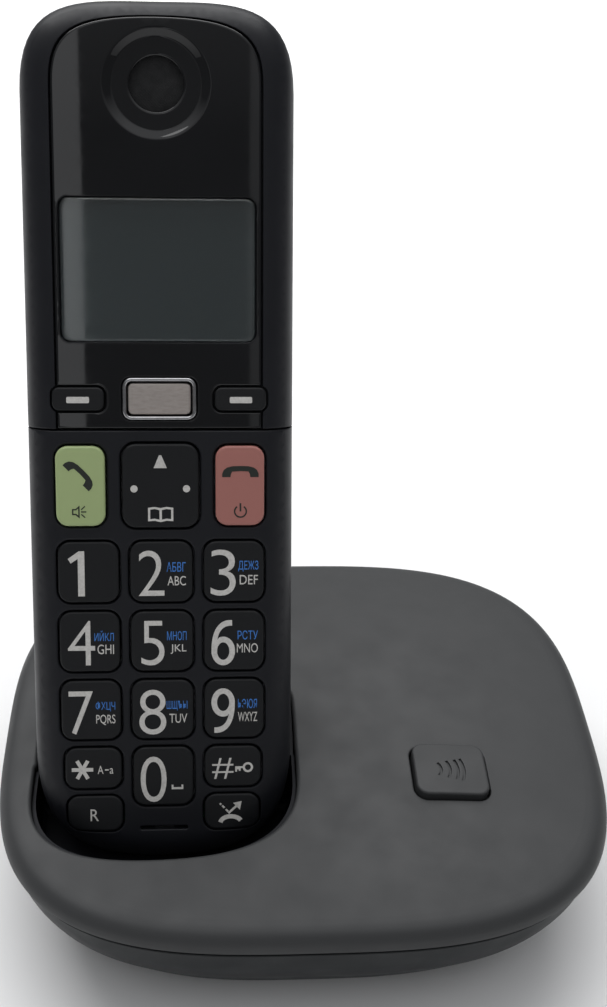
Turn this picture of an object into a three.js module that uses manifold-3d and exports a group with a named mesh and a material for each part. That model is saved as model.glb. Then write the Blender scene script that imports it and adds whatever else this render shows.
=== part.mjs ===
// Cordless phone standing in its charging base.
// Millimetres, +Z up. The base rests on z = 0 and the origin is under the middle of the whole object.
// The handset is drawn in a frame of its own: x across, y up its length, z out of its front face.
import * as THREE from "three";
import { mergeVertices } from "three/addons/utils/BufferGeometryUtils.js";
import Module from "manifold-3d";

const wasm = await Module();
wasm.setup();

// ---------------------------------------------------------------- driving dimensions

const GAP = 0.3; // clearance between neighbouring pieces
const DEG = Math.PI / 180;

const BASE = {
  halfWidth: 61.6,
  halfDepth: 54.5,
  power: 3.15, // exponent of the superellipse that the base follows in plan
  floorZ: 1.2, // underside of the bottom housing, above the feet
  seamZ: 25.3,
  rimZ: 29.7, // where the crowned top turns into the rim
  crown: 4.3, // height of the crown above the rim
  crownEdge: 0.95, // share of the half width at which the crown ends
  crownPower: 2.2,
  wall: 2.2,
  segments: 56,
};

const LEAN = 26.3 * DEG; // handset's lean back from upright in the cradle
const DOCK = new THREE.Vector3(-28.3, -25.6, 28.4); // handset frame's origin in the base's frame

const BODY = {
  halfWidth: 24.9,
  bottom: -9,
  top: 153.7,
  depth: 28,
  parting: -12, // depth at which front and rear shells meet
  frontRound: 6.5,
  rearRound: 8,
  rearRoundDepth: 9,
  wall: 2,
  split: 76.8, // height of the joint between the upper frame and the keypad cover
};

const FRAME_FLOOR = { top: -1.9, bottom: -3.1 }; // shelf that the window panel is glued to
const PANEL = { halfWidth: 18.9, top: 150.3, thickness: 1.6 };
const LENS = { width: 35.4, bottom: 93.1, top: 118.9, radius: 1.8, proud: 0.45 };
const EAR = { y: 138.8, dishOuter: 9.5, dishInner: 8.1, dishDepth: 0.8, hole: 4.9 };

const KEY_GAP = 0.35; // around a key, to the wall of its opening
const KEY_FOOT = -4.2; // depth of a key's underside
const KEY_FLANGE = 0.3; // how far a key's foot reaches under its cover
const MEMBRANE = { top: -5.2, bottom: -5.8 };
const BOARD = { top: -6.6, bottom: -7.8 };

// ---------------------------------------------------------------- materials

function plastic(color, roughness) {
  return new THREE.MeshStandardMaterial({ color, roughness, metalness: 0 });
}

function metal(color, roughness) {
  return new THREE.MeshStandardMaterial({ color, roughness, metalness: 1 });
}

const charcoal = plastic(0x232427, 0.42);
const baseGrey = plastic(0x4b4b4d, 0.55);
const housingGrey = plastic(0x303336, 0.55);
const gloss = plastic(0x0c0d10, 0.06);
const keyBlack = plastic(0x1d1e21, 0.5);
const talkGreen = plastic(0x93ab63, 0.45);
const offRed = plastic(0xa05c56, 0.45);
const silver = plastic(0x857f7b, 0.35);
const clearLens = plastic(0x3b4144, 0.05);
const lcdGlass = plastic(0x28302f, 0.2);
const white = plastic(0xe4e4e0, 0.5);
const boardGreen = plastic(0x1f5c3a, 0.5);
const rubber = plastic(0x1a1a1a, 0.9);
const membraneGrey = plastic(0x8a8c90, 0.8);
const wrapBlue = plastic(0x2c5fa3, 0.35);
const chrome = metal(0xd8d8da, 0.15);
const steel = metal(0xb4b6b8, 0.35);
const gold = metal(0xc9a85a, 0.3);

// ---------------------------------------------------------------- solids

// A closed geometry as a solid that can be cut and joined.
function solid(geometry) {
  const bare = geometry.index ? geometry.toNonIndexed() : geometry.clone();
  const positions = new THREE.BufferGeometry().setAttribute("position", bare.getAttribute("position"));
  const merged = mergeVertices(positions, 1e-4);
  const triVerts = [];
  const index = merged.index.array;
  for (let i = 0; i < index.length; i += 3) {
    const [a, b, c] = [index[i], index[i + 1], index[i + 2]];
    if (a !== b && b !== c && a !== c) triVerts.push(a, b, c);
  }
  return new wasm.Manifold(
    new wasm.Mesh({
      numProp: 3,
      vertProperties: merged.attributes.position.array,
      triVerts: new Uint32Array(triVerts),
    }),
  );
}

function geometryOf(made) {
  const { numProp, numVert, vertProperties, triVerts } = made.getMesh();
  const position = new Float32Array(numVert * 3);
  for (let i = 0; i < numVert; i++) {
    position.set(vertProperties.subarray(i * numProp, i * numProp + 3), i * 3);
  }
  return new THREE.BufferGeometry()
    .setAttribute("position", new THREE.BufferAttribute(position, 3))
    .setIndex(new THREE.BufferAttribute(triVerts, 1));
}

function addPiece(group, name, shape, material) {
  const geometry = shape.isBufferGeometry ? shape : geometryOf(shape);
  geometry.computeVertexNormals();
  const mesh = new THREE.Mesh(geometry, material);
  mesh.name = name;
  group.add(mesh);
  return mesh;
}

function join(first, ...others) {
  return others.reduce((sum, other) => sum.add(other), first);
}

function cut(first, ...others) {
  return others.reduce((rest, other) => rest.subtract(other), first);
}

// A box from one corner to the other.
function box([x0, y0, z0], [x1, y1, z1]) {
  const geometry = new THREE.BoxGeometry(x1 - x0, y1 - y0, z1 - z0);
  return solid(geometry.translate((x0 + x1) / 2, (y0 + y1) / 2, (z0 + z1) / 2));
}

// A cylinder or cone along z.
function round(x, y, z0, z1, bottomRadius, topRadius = bottomRadius, segments = 24) {
  const geometry = new THREE.CylinderGeometry(topRadius, bottomRadius, z1 - z0, segments);
  return solid(geometry.rotateX(Math.PI / 2).translate(x, y, (z0 + z1) / 2));
}

// A cylinder along z with a chosen number of sides.
function rod(x, y, z0, z1, radius, segments) {
  return round(x, y, z0, z1, radius, radius, segments);
}

function roundedRect(x0, y0, x1, y1, radius) {
  const shape = new THREE.Shape();
  shape.moveTo(x0 + radius, y0);
  shape.lineTo(x1 - radius, y0);
  shape.absarc(x1 - radius, y0 + radius, radius, -Math.PI / 2, 0);
  shape.lineTo(x1, y1 - radius);
  shape.absarc(x1 - radius, y1 - radius, radius, 0, Math.PI / 2);
  shape.lineTo(x0 + radius, y1);
  shape.absarc(x0 + radius, y1 - radius, radius, Math.PI / 2, Math.PI);
  shape.lineTo(x0, y0 + radius);
  shape.absarc(x0 + radius, y0 + radius, radius, Math.PI, 1.5 * Math.PI);
  return shape;
}

function prism(shape, z0, z1, curveSegments = 2) {
  const geometry = new THREE.ExtrudeGeometry(shape, { depth: z1 - z0, bevelEnabled: false, curveSegments });
  return solid(geometry.translate(0, 0, z0));
}

// A prism whose top edge is chamfered.
function chamferedPrism(shape, z0, z1, chamfer) {
  const depth = z1 - z0 - 2 * chamfer;
  const geometry = new THREE.ExtrudeGeometry(shape, {
    depth,
    bevelThickness: chamfer,
    bevelSize: chamfer,
    bevelOffset: -chamfer,
    bevelSegments: 1,
    curveSegments: 2,
  });
  return solid(geometry.translate(0, 0, z0 + chamfer));
}

// ---------------------------------------------------------------- the base's crowned oval

// Turns a profile of [share of the half width, z] into a solid that is a superellipse in plan.
// The profile starts on the axis at the bottom and ends on it at the top.
function ovalSolid(profile) {
  const points = profile.map(([share, z]) => new THREE.Vector2(share, z));
  const geometry = new THREE.LatheGeometry(points, BASE.segments).rotateX(Math.PI / 2);
  const position = geometry.getAttribute("position");
  for (let i = 0; i < position.count; i++) {
    const share = Math.hypot(position.getX(i), position.getY(i));
    const angle = Math.atan2(position.getY(i), position.getX(i));
    position.setX(i, share * BASE.halfWidth * squircle(Math.cos(angle)));
    position.setY(i, share * BASE.halfDepth * squircle(Math.sin(angle)));
  }
  return solid(geometry);
}

function squircle(value) {
  const small = 1e-7; // keeps the seam's two copies of a vertex together
  return Math.abs(value) < small ? 0 : Math.sign(value) * Math.abs(value) ** (2 / BASE.power);
}

// Height of the base's top surface at a share of its half width.
function crownHeight(share) {
  return BASE.rimZ + BASE.crown * (1 - (share / BASE.crownEdge) ** BASE.crownPower);
}

// Height of the base's top surface at a point in plan.
function topHeight(x, y) {
  const across = Math.abs(x / BASE.halfWidth) ** BASE.power;
  const along = Math.abs(y / BASE.halfDepth) ** BASE.power;
  return crownHeight((across + along) ** (1 / BASE.power));
}

// The crown from its edge up to the middle.
function crownProfile(drop, shares = [BASE.crownEdge, 0.84, 0.68, 0.48, 0.25, 0]) {
  return shares.map((share) => [share, crownHeight(share) - drop]);
}

const rimProfile = [
  [1, BASE.rimZ - 2.6],
  [0.992, BASE.rimZ - 1.3],
  [0.975, BASE.rimZ - 0.5],
];

const housingProfile = [
  [0.765, BASE.floorZ],
  [0.828, 4.8],
  [0.892, 10.4],
  [0.934, 14.2],
  [0.969, 19],
  [0.988, BASE.seamZ - GAP],
];

const topCoverOuter = [[0, BASE.seamZ], [1, BASE.seamZ], ...rimProfile, ...crownProfile(0)];
const skirt = BASE.wall / BASE.halfWidth; // the wall's thickness as a share of the half width

// ---------------------------------------------------------------- the handset's outline

// The handset seen from the front, drawn in by inset.
function bodyOutline(inset) {
  const half = BODY.halfWidth - inset;
  const low = BODY.bottom + inset;
  const high = BODY.top - inset;
  const lowTurn = 14; // where the straight sides start to turn in
  const highTurn = 137.8;
  const outline = new THREE.Shape();
  outline.moveTo(0, low);
  outline.bezierCurveTo(0.7 * half, low, half, low + 6, half, lowTurn);
  outline.lineTo(half, highTurn);
  outline.bezierCurveTo(half, high + 1.2, 0.54 * half, high, 0, high);
  outline.bezierCurveTo(-0.54 * half, high, -half, high + 1.2, -half, highTurn);
  outline.lineTo(-half, lowTurn);
  outline.bezierCurveTo(-half, low + 6, -0.7 * half, low, 0, low);
  return outline;
}

// A pillow with rounded edges, from the front face back to the rear face.
function pillow(inset, frontZ, rearZ, roundSize, roundDepth) {
  const size = roundSize - inset;
  const thickness = roundDepth - inset;
  const geometry = new THREE.ExtrudeGeometry(bodyOutline(inset), {
    depth: frontZ - rearZ - 2 * thickness,
    bevelThickness: thickness,
    bevelSize: size,
    bevelOffset: -size,
    bevelSegments: 4,
    curveSegments: 8,
  });
  return solid(geometry.translate(0, 0, rearZ + thickness));
}

const frontPillow = pillow(0, 0, -BODY.depth, BODY.frontRound, BODY.frontRound);
const rearPillow = pillow(0, 0, -BODY.depth, BODY.rearRound, BODY.rearRoundDepth);

// The room inside the front shells.
function frontHollow(inset, frontZ) {
  return pillow(inset, frontZ, -BODY.depth, 4.5, 4.5);
}

function frontShell(frontWall) {
  const outside = frontPillow.trimByPlane([0, 0, 1], BODY.parting + GAP / 2);
  return cut(outside, frontHollow(BODY.wall, -frontWall));
}

// ---------------------------------------------------------------- keys

// [name, left, bottom, right, top, corner radius, proud of the face, material], all in the handset's frame
const row = (number) => 44.1 - 13.5 * number; // bottom of each row of number keys
const SIDE = { inner: 8, outer: 19.3 };
const numberKeys = [1, 2, 3, 4, 5, 6, 7, 8, 9].map((digit) => {
  const column = (digit - 1) % 3;
  const y = row(Math.floor((digit - 1) / 3));
  const left = [-SIDE.outer, -5.85, SIDE.inner][column];
  const right = [-SIDE.inner, 5.85, SIDE.outer][column];
  return [`key_${digit}`, left, y, right, y + 11.6, 2.3, 0.35, keyBlack];
});

const lowerKeys = [
  ["talk_key", -19.35, 58.8, -10.25, 73.8, 2.3, 0.6, talkGreen],
  ["off_key", 10.25, 58.8, 19.35, 73.8, 2.3, 0.6, offRed],
  ...numberKeys,
  ["key_star", -18.8, 7.2, -8, 15.3, 2.2, 0.35, keyBlack],
  ["key_0", -5.75, 3.6, 5.75, 15.3, 2.3, 0.35, keyBlack],
  ["key_hash", 8, 7.2, 18.8, 15.3, 2.2, 0.35, keyBlack],
  ["recall_key", -18.5, -1.5, -7.9, 5.6, 2.2, 0.3, keyBlack],
  ["call_block_key", 7.9, -1.5, 18.5, 5.6, 2.2, 0.3, keyBlack],
];

const navigator = ["navigator_key", -7.1, 58.4, 7.1, 74.2, 2.5, 0.45, keyBlack];
const MENU = { left: -6.8, bottom: 78.65, right: 6.8, top: 86.5, radius: 1.7, ring: 0.75 };
const menuInset = MENU.ring + GAP;

const upperKeys = [
  [
    "menu_key",
    MENU.left + menuInset,
    MENU.bottom + menuInset,
    MENU.right - menuInset,
    MENU.top - menuInset,
    0.9,
    0.45,
    silver,
  ],
  ["soft_key_left", -19.7, 80.4, -10.2, 84.7, 1.3, 0.4, keyBlack],
  ["soft_key_right", 10.2, 80.4, 19.7, 84.7, 1.3, 0.4, keyBlack],
];

function keyOutline([, left, bottom, right, top, radius], grow) {
  return roundedRect(left - grow, bottom - grow, right + grow, top + grow, radius + grow);
}

function keyOpening(key) {
  return prism(keyOutline(key, KEY_GAP), -BODY.depth / 2, 5);
}

// A key cap on a wider foot that holds it under its cover.
function keyCap(key, footTop) {
  const [, , bottom, , , , proud] = key;
  const cap = chamferedPrism(keyOutline(key, 0), footTop - 0.8, proud, 0.25);
  const foot = prism(keyOutline(key, KEY_GAP + KEY_FLANGE), KEY_FOOT, footTop, 1);
  // the lowest keys follow the chin's curve
  if (bottom < 0) return join(cap.intersect(frontPillow.translate([0, 0, proud])), foot.intersect(keyRoom));
  return join(cap, foot);
}

const keyRoom = frontHollow(BODY.wall + GAP, -BODY.wall - GAP);

// ---------------------------------------------------------------- handset front

function frontFrame() {
  const recess = prism(panelOutline(GAP / 2), FRAME_FLOOR.top, 5, 8);
  const view = prism(roundedRect(-16.5, LENS.bottom + 1.2, 16.5, LENS.top - 1.2, 1), -5, 0);
  const ear = round(0, EAR.y, -5, 0, 6.3);
  const upper = frontShell(-FRAME_FLOOR.bottom).trimByPlane([0, 1, 0], BODY.split + GAP / 2);
  return cut(upper, recess, view, ear, ...upperKeys.map(keyOpening));
}

function keypadCover() {
  const lower = frontShell(BODY.wall).trimByPlane([0, -1, 0], -BODY.split + GAP / 2);
  const voiceSlot = prism(roundedRect(-4.6, -1.5, 4.6, -0.7, 0.35), -5, 5, 2);
  return cut(lower, voiceSlot, ...[...lowerKeys, navigator].map(keyOpening));
}

function panelOutline(grow) {
  const half = PANEL.halfWidth + grow;
  const low = BODY.split - grow + GAP / 2;
  const high = PANEL.top + grow;
  const turn = 138.5;
  const outline = new THREE.Shape();
  outline.moveTo(-half, low);
  outline.lineTo(half, low);
  outline.lineTo(half, turn);
  outline.bezierCurveTo(half, high - 3, 0.8 * half, high, 0, high);
  outline.bezierCurveTo(-0.8 * half, high, -half, high - 3, -half, turn);
  return outline;
}

function lensOutline(grow) {
  const half = LENS.width / 2 + grow;
  return roundedRect(-half, LENS.bottom - grow, half, LENS.top + grow, LENS.radius);
}

function bezelOutline(grow) {
  return roundedRect(
    MENU.left - grow,
    MENU.bottom - grow,
    MENU.right + grow,
    MENU.top + grow,
    MENU.radius + grow,
  );
}

function windowPanel() {
  return cut(
    prism(panelOutline(-GAP / 2), -PANEL.thickness, 0, 8),
    round(0, EAR.y, -EAR.dishDepth, 0.01, EAR.dishInner, EAR.dishOuter, 32),
    round(0, EAR.y, -5, 5, EAR.hole),
    prism(lensOutline(GAP / 2), -5, 5),
    prism(bezelOutline(GAP / 2), -5, 5),
    ...upperKeys.slice(1).map(keyOpening),
  );
}

function menuBezel() {
  return cut(
    chamferedPrism(bezelOutline(0), -PANEL.thickness, 0.6, 0.25),
    prism(bezelOutline(-MENU.ring), -5, 5),
  );
}

// ---------------------------------------------------------------- handset inside and rear

const TRAY = { halfWidth: 15, bottom: 26, top: 82, floor: -15.2, wall: 1.3 };
const COVER = { halfWidth: 15.4, bottom: 23, top: 95, thickness: 1.3 };
const CELL = { radius: 5.2, length: 43.6, x: 5.6, y: 31.6, z: -20.9 };
const CHARGE = { x: 9.5, halfWidth: 2, y: -8.45, z0: -18, z1: -13 };
const SCREW = { x: 10, y: 89.5, head: 2.2, headHeight: 0.9, shank: 1, seatZ: -25.2 };
const CONTACT = { halfWidth: 11, thickness: 0.6, z0: -25.5, z1: -16.5 };
const GRILLE = { y: 124, pitch: 3, halfWidth: 7, halfHeight: 0.7 };
const MICROPHONE = { y: -0.9, radius: 2, top: -2.3, bottom: -4.6 };

function coverBlock(grow, fromZ, toZ) {
  return prism(
    roundedRect(-COVER.halfWidth - grow, COVER.bottom - grow, COVER.halfWidth + grow, COVER.top + grow, 2.5),
    fromZ,
    toZ,
  );
}

function rearCase() {
  const hollow = pillow(BODY.wall, 0, -BODY.depth + BODY.wall, BODY.rearRound, BODY.rearRoundDepth);
  const shell = cut(rearPillow.trimByPlane([0, 0, -1], -BODY.parting + GAP / 2), hollow);
  const trayOuter = box(
    [-TRAY.halfWidth - TRAY.wall, TRAY.bottom - TRAY.wall, -BODY.depth + 1],
    [TRAY.halfWidth + TRAY.wall, TRAY.top + TRAY.wall, TRAY.floor + TRAY.wall],
  );
  const trayInner = box([-TRAY.halfWidth, TRAY.bottom, -40], [TRAY.halfWidth, TRAY.top, TRAY.floor]);
  const coverSeat = coverBlock(GAP, -40, -BODY.depth + COVER.thickness + GAP);
  const grille = [-2, -1, 0, 1, 2].map((step) => {
    const y = GRILLE.y + GRILLE.pitch * step;
    const slot = roundedRect(
      -GRILLE.halfWidth,
      y - GRILLE.halfHeight,
      GRILLE.halfWidth,
      y + GRILLE.halfHeight,
      0.6,
    );
    return prism(slot, -40, -20, 2);
  });
  const contactSlots = [-1, 1].map((side) =>
    box(
      [side * CHARGE.x - CHARGE.halfWidth - GAP, BODY.bottom - 3, CHARGE.z0 - GAP],
      [side * CHARGE.x + CHARGE.halfWidth + GAP, BODY.bottom + 5, CHARGE.z1 + GAP],
    ),
  );
  const pad = box([-17, COVER.bottom - 1.5, -BODY.depth + 0.6], [17, COVER.top + 1.5, -BODY.depth + 3.8]);
  const screwHoles = [-1, 1].flatMap((side) => [
    rod(side * SCREW.x, SCREW.y, -40, -10, SCREW.shank + GAP, 12),
    rod(side * SCREW.x, SCREW.y, -40, SCREW.seatZ, SCREW.head + GAP, 12),
  ]);
  const joined = join(shell, trayOuter, pad);
  return cut(joined, trayInner, coverSeat, ...grille, ...contactSlots, ...screwHoles);
}

function handsetScrew(side) {
  const [x, y] = [side * SCREW.x, SCREW.y];
  const head = rod(x, y, SCREW.seatZ - SCREW.headHeight, SCREW.seatZ, SCREW.head, 12);
  return join(head, rod(x, y, SCREW.seatZ - 0.4, -7, SCREW.shank, 12));
}

function batteryCover() {
  const plate = coverBlock(0, -40, -BODY.depth + COVER.thickness).intersect(rearPillow);
  const thumbRidges = [0, 1, 2].map((step) => {
    const y = 84 + 2 * step;
    return box([-5, y, -BODY.depth - 0.1], [5, y + 0.8, -BODY.depth + 0.4]);
  });
  return cut(plate, ...thumbRidges);
}

// An AAA cell along y, with its positive end up or down.
function cell(side) {
  const can = solid(new THREE.CylinderGeometry(CELL.radius, CELL.radius, CELL.length, 20));
  const nub = new THREE.CylinderGeometry(1.9, 1.9, 1.2, 12);
  const tip = solid(nub.translate(0, side * (CELL.length / 2 + 0.5), 0));
  return join(can, tip).translate(side * CELL.x, CELL.y + CELL.length / 2, CELL.z);
}

function batteryContact(y) {
  return box([-CONTACT.halfWidth, y, CONTACT.z0], [CONTACT.halfWidth, y + CONTACT.thickness, CONTACT.z1]);
}

function chargeContact(side) {
  const x = side * CHARGE.x;
  const { halfWidth, y, z0, z1 } = CHARGE;
  const face = box([x - halfWidth, y, z0], [x + halfWidth, y + 1, z1]);
  const tab = box([x - 1, y + 0.8, z1 - 0.8], [x + 1, y + 4, z1]);
  return join(face, tab);
}

function boardOutline(low, high, half, radius) {
  return roundedRect(-half, low, half, high, radius);
}

function displaySheet(z0, z1) {
  return box([-17.2, 93.2, z0], [17.2, 118.8, z1]);
}

// A drum with a wider front, along z.
function loudspeaker() {
  const basket = round(0, GRILLE.y, -22.6, -20, 9.5);
  const magnet = round(0, GRILLE.y, -20.5, -15.5, 6);
  return join(basket, magnet);
}

function handsetBoard() {
  const plate = prism(boardOutline(-2, 146, 19.4, 10), BOARD.bottom, BOARD.top);
  const radioShield = box([-9, 96, BOARD.bottom - 2.4], [9, 116, BOARD.bottom + 0.1]);
  const processor = box([-5, 60, BOARD.bottom - 1.2], [5, 70, BOARD.bottom + 0.1]);
  const screwHoles = [-1, 1].map((side) => rod(side * SCREW.x, SCREW.y, -10, 0, SCREW.shank + GAP, 12));
  return cut(join(plate, radioShield, processor), ...screwHoles);
}

// ---------------------------------------------------------------- handset assembly

function buildHandset() {
  const handset = new THREE.Group();
  handset.rotation.x = Math.PI / 2 - LEAN;
  handset.position.copy(DOCK);

  addPiece(handset, "front_frame", frontFrame(), charcoal);
  addPiece(handset, "keypad_cover", keypadCover(), charcoal);
  addPiece(handset, "window_panel", windowPanel(), gloss);
  const lens = chamferedPrism(lensOutline(-GAP / 2), -PANEL.thickness, LENS.proud, 0.3);
  addPiece(handset, "lcd_lens", lens, clearLens);
  addPiece(handset, "lcd_module", displaySheet(-5, -3.4), lcdGlass);
  addPiece(handset, "lcd_backlight", displaySheet(-6.3, -5.3), white);
  addPiece(handset, "earpiece_mesh", round(0, EAR.y, -2.4, -1.9, 6), rubber);
  const earpiece = join(round(0, EAR.y, -5, -3.4, 7.8), round(0, EAR.y, -6.2, -4.5, 5.5));
  addPiece(handset, "earpiece_speaker", earpiece, steel);
  addPiece(handset, "menu_key_bezel", menuBezel(), chrome);
  for (const key of upperKeys) addPiece(handset, key[0], keyCap(key, -3.4), key[7]);
  for (const key of lowerKeys) addPiece(handset, key[0], keyCap(key, -2.3), key[7]);

  addPiece(handset, "navigator_key", keyCap(navigator, -2.9), keyBlack);
  const pivotY = (navigator[2] + navigator[4]) / 2;
  addPiece(handset, "nav_pivot", rod(0, pivotY, MEMBRANE.top + 0.2, KEY_FOOT - 0.2, 1.8, 12), rubber);

  const membrane = prism(boardOutline(2.4, 89, 20.4, 5), MEMBRANE.bottom, MEMBRANE.top, 3);
  addPiece(handset, "keypad_membrane", membrane, membraneGrey);
  addPiece(handset, "handset_circuit_board", handsetBoard(), boardGreen);
  const microphone = rod(0, MICROPHONE.y, MICROPHONE.bottom, MICROPHONE.top, MICROPHONE.radius, 16);
  addPiece(handset, "microphone", microphone, steel);
  addPiece(handset, "loudspeaker", loudspeaker(), steel);

  addPiece(handset, "rear_case", rearCase(), charcoal);
  addPiece(handset, "battery_cover", batteryCover(), charcoal);
  addPiece(handset, "battery_left", cell(-1), wrapBlue);
  addPiece(handset, "battery_right", cell(1), wrapBlue);
  addPiece(handset, "battery_contact_bottom", batteryContact(TRAY.bottom + GAP), steel);
  addPiece(handset, "battery_contact_top", batteryContact(TRAY.top - GAP - CONTACT.thickness), steel);
  addPiece(handset, "charge_contact_left", chargeContact(-1), gold);
  addPiece(handset, "charge_contact_right", chargeContact(1), gold);
  addPiece(handset, "handset_screw_left", handsetScrew(-1), steel);
  addPiece(handset, "handset_screw_right", handsetScrew(1), steel);
  return handset;
}

// ---------------------------------------------------------------- cradle in the base

const POCKET = {
  halfWidth: 25.3,
  front: -36.2, // the lip in front of the handset
  back: -12,
  scoopZ: 17, // floor of the scoop in front of the handset
  wall: 0.6,
  clearance: 0.4,
};

// The pocket's mouth in plan, ahead of the handset.
function mouthOutline(grow) {
  const half = POCKET.halfWidth + grow;
  const front = POCKET.front - grow;
  const outline = new THREE.Shape();
  outline.moveTo(0, front);
  outline.bezierCurveTo(0.66 * half, front, half, front + 5, half, front + 18);
  outline.lineTo(half, POCKET.back);
  outline.lineTo(-half, POCKET.back);
  outline.lineTo(-half, front + 18);
  outline.bezierCurveTo(-half, front + 5, -0.66 * half, front, 0, front);
  return outline;
}

// From the handset's frame to the base's.
function docked(shape) {
  return shape.rotate([90 - LEAN / DEG, 0, 0]).translate(DOCK.toArray());
}

function pocketSpace(grow) {
  const room = POCKET.clearance + grow;
  const mouth = prism(mouthOutline(grow), POCKET.scoopZ - grow, 60, 6).translate([DOCK.x, 0, 0]);
  return join(mouth, docked(pillow(-room, room, -BODY.depth - room, BODY.frontRound, BODY.frontRound)));
}

// ---------------------------------------------------------------- base pieces

const FEET = { x: 34, y: 24, radius: 5 };
const BUTTON = { x: 28.4, y: -18.1, width: 14.6, height: 13, radius: 2.4, proud: 1.4 };
const STEM_Z = 24.9; // lower end of the button's stem, above its switch
const BASE_BOARD = { top: 20.1, bottom: 18.5 };
const BASE_SCREWS = [
  [-20, 35],
  [42, -4],
];
const BASE_SCREW = { head: 3, headHeight: 1, shank: 1.2, length: 12.8 };
const RECESS = { x0: -6, x1: 32, y: 43.6, z0: 5, z1: 18, wall: 1.8 };
const LINE = { x: 22, width: 12.4, z0: 5.6, z1: 17.4, y0: 30.6, y1: 44.2 };
const POWER = { x: 3, width: 9, z0: 6.2, z1: 17.2, y0: 30.6, y1: 44.2, axisZ: 11.6 };
const SPRING = { width: 4, thickness: 0.45, z: -15.5, high: -8.8, low: -13, run: 4.6 };

function socketBody({ x, width, z0, z1, y0, y1 }, grow = 0) {
  return box([x - width / 2 - grow, y0 - grow, z0 - grow], [x + width / 2 + grow, y1 + grow, z1 + grow]);
}

function lineSocket() {
  const opening = box([LINE.x - 4.9, LINE.y1 - 11, 7.6], [LINE.x + 4.9, LINE.y1 + 1, 14.6]);
  const latch = box([LINE.x - 2, LINE.y1 - 7, 14.5], [LINE.x + 2, LINE.y1 + 1, 16.4]);
  return cut(socketBody(LINE), opening, latch);
}

function powerSocket() {
  const along = (radius, y0, y1) => {
    const bar = new THREE.CylinderGeometry(radius, radius, y1 - y0, 20);
    return solid(bar.translate(POWER.x, (y0 + y1) / 2, POWER.axisZ));
  };
  const barrel = along(3.1, POWER.y1 - 9, POWER.y1 + 1);
  const pin = along(0.85, POWER.y1 - 9.5, POWER.y1 - 1);
  return join(cut(socketBody(POWER), barrel), pin);
}

function bottomHousing() {
  const outerSolid = ovalSolid([[0, BASE.floorZ], ...housingProfile, [0, BASE.seamZ - GAP]]);
  const cavity = ovalSolid([
    [0, BASE.floorZ + BASE.wall],
    [0.765, BASE.floorZ + BASE.wall],
    [0.85, 10],
    [0.927, 18],
    [0.95, BASE.seamZ + 1],
    [0, BASE.seamZ + 1],
  ]);
  const recessBlock = box(
    [RECESS.x0 - RECESS.wall, RECESS.y - RECESS.wall, RECESS.z0 - RECESS.wall],
    [RECESS.x1 + RECESS.wall, 70, RECESS.z1 + RECESS.wall],
  ).intersect(outerSolid);
  const recess = box([RECESS.x0, RECESS.y, RECESS.z0], [RECESS.x1, 70, RECESS.z1]);
  const shell = cut(outerSolid, cavity);
  const holes = BASE_SCREWS.flatMap(([x, y]) => [
    rod(x, y, -1, 5, BASE_SCREW.shank + 0.4, 16),
    rod(x, y, -1, BASE.floorZ + BASE_SCREW.headHeight + 0.1, BASE_SCREW.head + 0.4, 16),
  ]);
  return cut(join(shell, recessBlock), recess, socketBody(LINE, GAP), socketBody(POWER, GAP), ...holes);
}

function buttonOpening() {
  const room = 0.4;
  const halfX = BUTTON.width / 2 + room;
  const halfY = BUTTON.height / 2 + room;
  const opening = prism(roundedRect(-halfX, -halfY, halfX, halfY, BUTTON.radius + room), 0, 60);
  return opening.translate([BUTTON.x, BUTTON.y, 0]);
}

function topCover() {
  const inner = [
    [0, BASE.seamZ - 1],
    [1 - skirt, BASE.seamZ - 1],
    [1 - skirt, BASE.rimZ - 3.2],
    ...crownProfile(BASE.wall, [BASE.crownEdge, 0.7, 0.35, 0]),
  ];
  const shell = cut(ovalSolid(topCoverOuter), ovalSolid(inner));
  const bosses = BASE_SCREWS.map(([x, y]) => rod(x, y, 4.2, topHeight(x, y) - BASE.wall + 0.5, 3.2, 16));
  const bores = BASE_SCREWS.map(([x, y]) => rod(x, y, 0, 17, BASE_SCREW.shank + GAP, 12));
  const opening = pocketSpace(POCKET.wall + GAP / 2);
  return cut(join(shell, ...bosses), opening, buttonOpening(), ...bores);
}

function cradleLiner() {
  const underTop = ovalSolid([[0, 0], [1, 0], [1, BASE.rimZ - 2.6], ...crownProfile(0)]);
  const space = cut(pocketSpace(POCKET.wall), pocketSpace(0)).intersect(underTop);
  const slots = [-1, 1].map((side) =>
    docked(
      box(
        [side * CHARGE.x - SPRING.width / 2 - GAP, SPRING.low - 2, SPRING.z - SPRING.run - GAP],
        [side * CHARGE.x + SPRING.width / 2 + GAP, BODY.bottom + 4, SPRING.z + SPRING.run + GAP],
      ),
    ),
  );
  return cut(space, ...slots);
}

// A strip of sprung metal that rises through the pocket's floor towards the handset's contact.
function chargeSpring(side) {
  const { z, high, low, run, thickness, width } = SPRING;
  const strip = new THREE.Shape();
  strip.moveTo(z + run, low);
  strip.quadraticCurveTo(z + run - 0.4, high, z, high);
  strip.quadraticCurveTo(z - run + 0.4, high, z - run, low);
  strip.lineTo(z - run + thickness, low);
  strip.quadraticCurveTo(z - run + 0.4 + thickness, high - thickness, z, high - thickness);
  strip.quadraticCurveTo(z + run - 0.4 - thickness, high - thickness, z + run - thickness, low);
  const geometry = new THREE.ExtrudeGeometry(strip, { depth: width, bevelEnabled: false, curveSegments: 5 });
  geometry.rotateY(-Math.PI / 2); // the drawing's x becomes the handset's z
  return docked(solid(geometry.translate(side * CHARGE.x + width / 2, 0, 0)));
}

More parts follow.
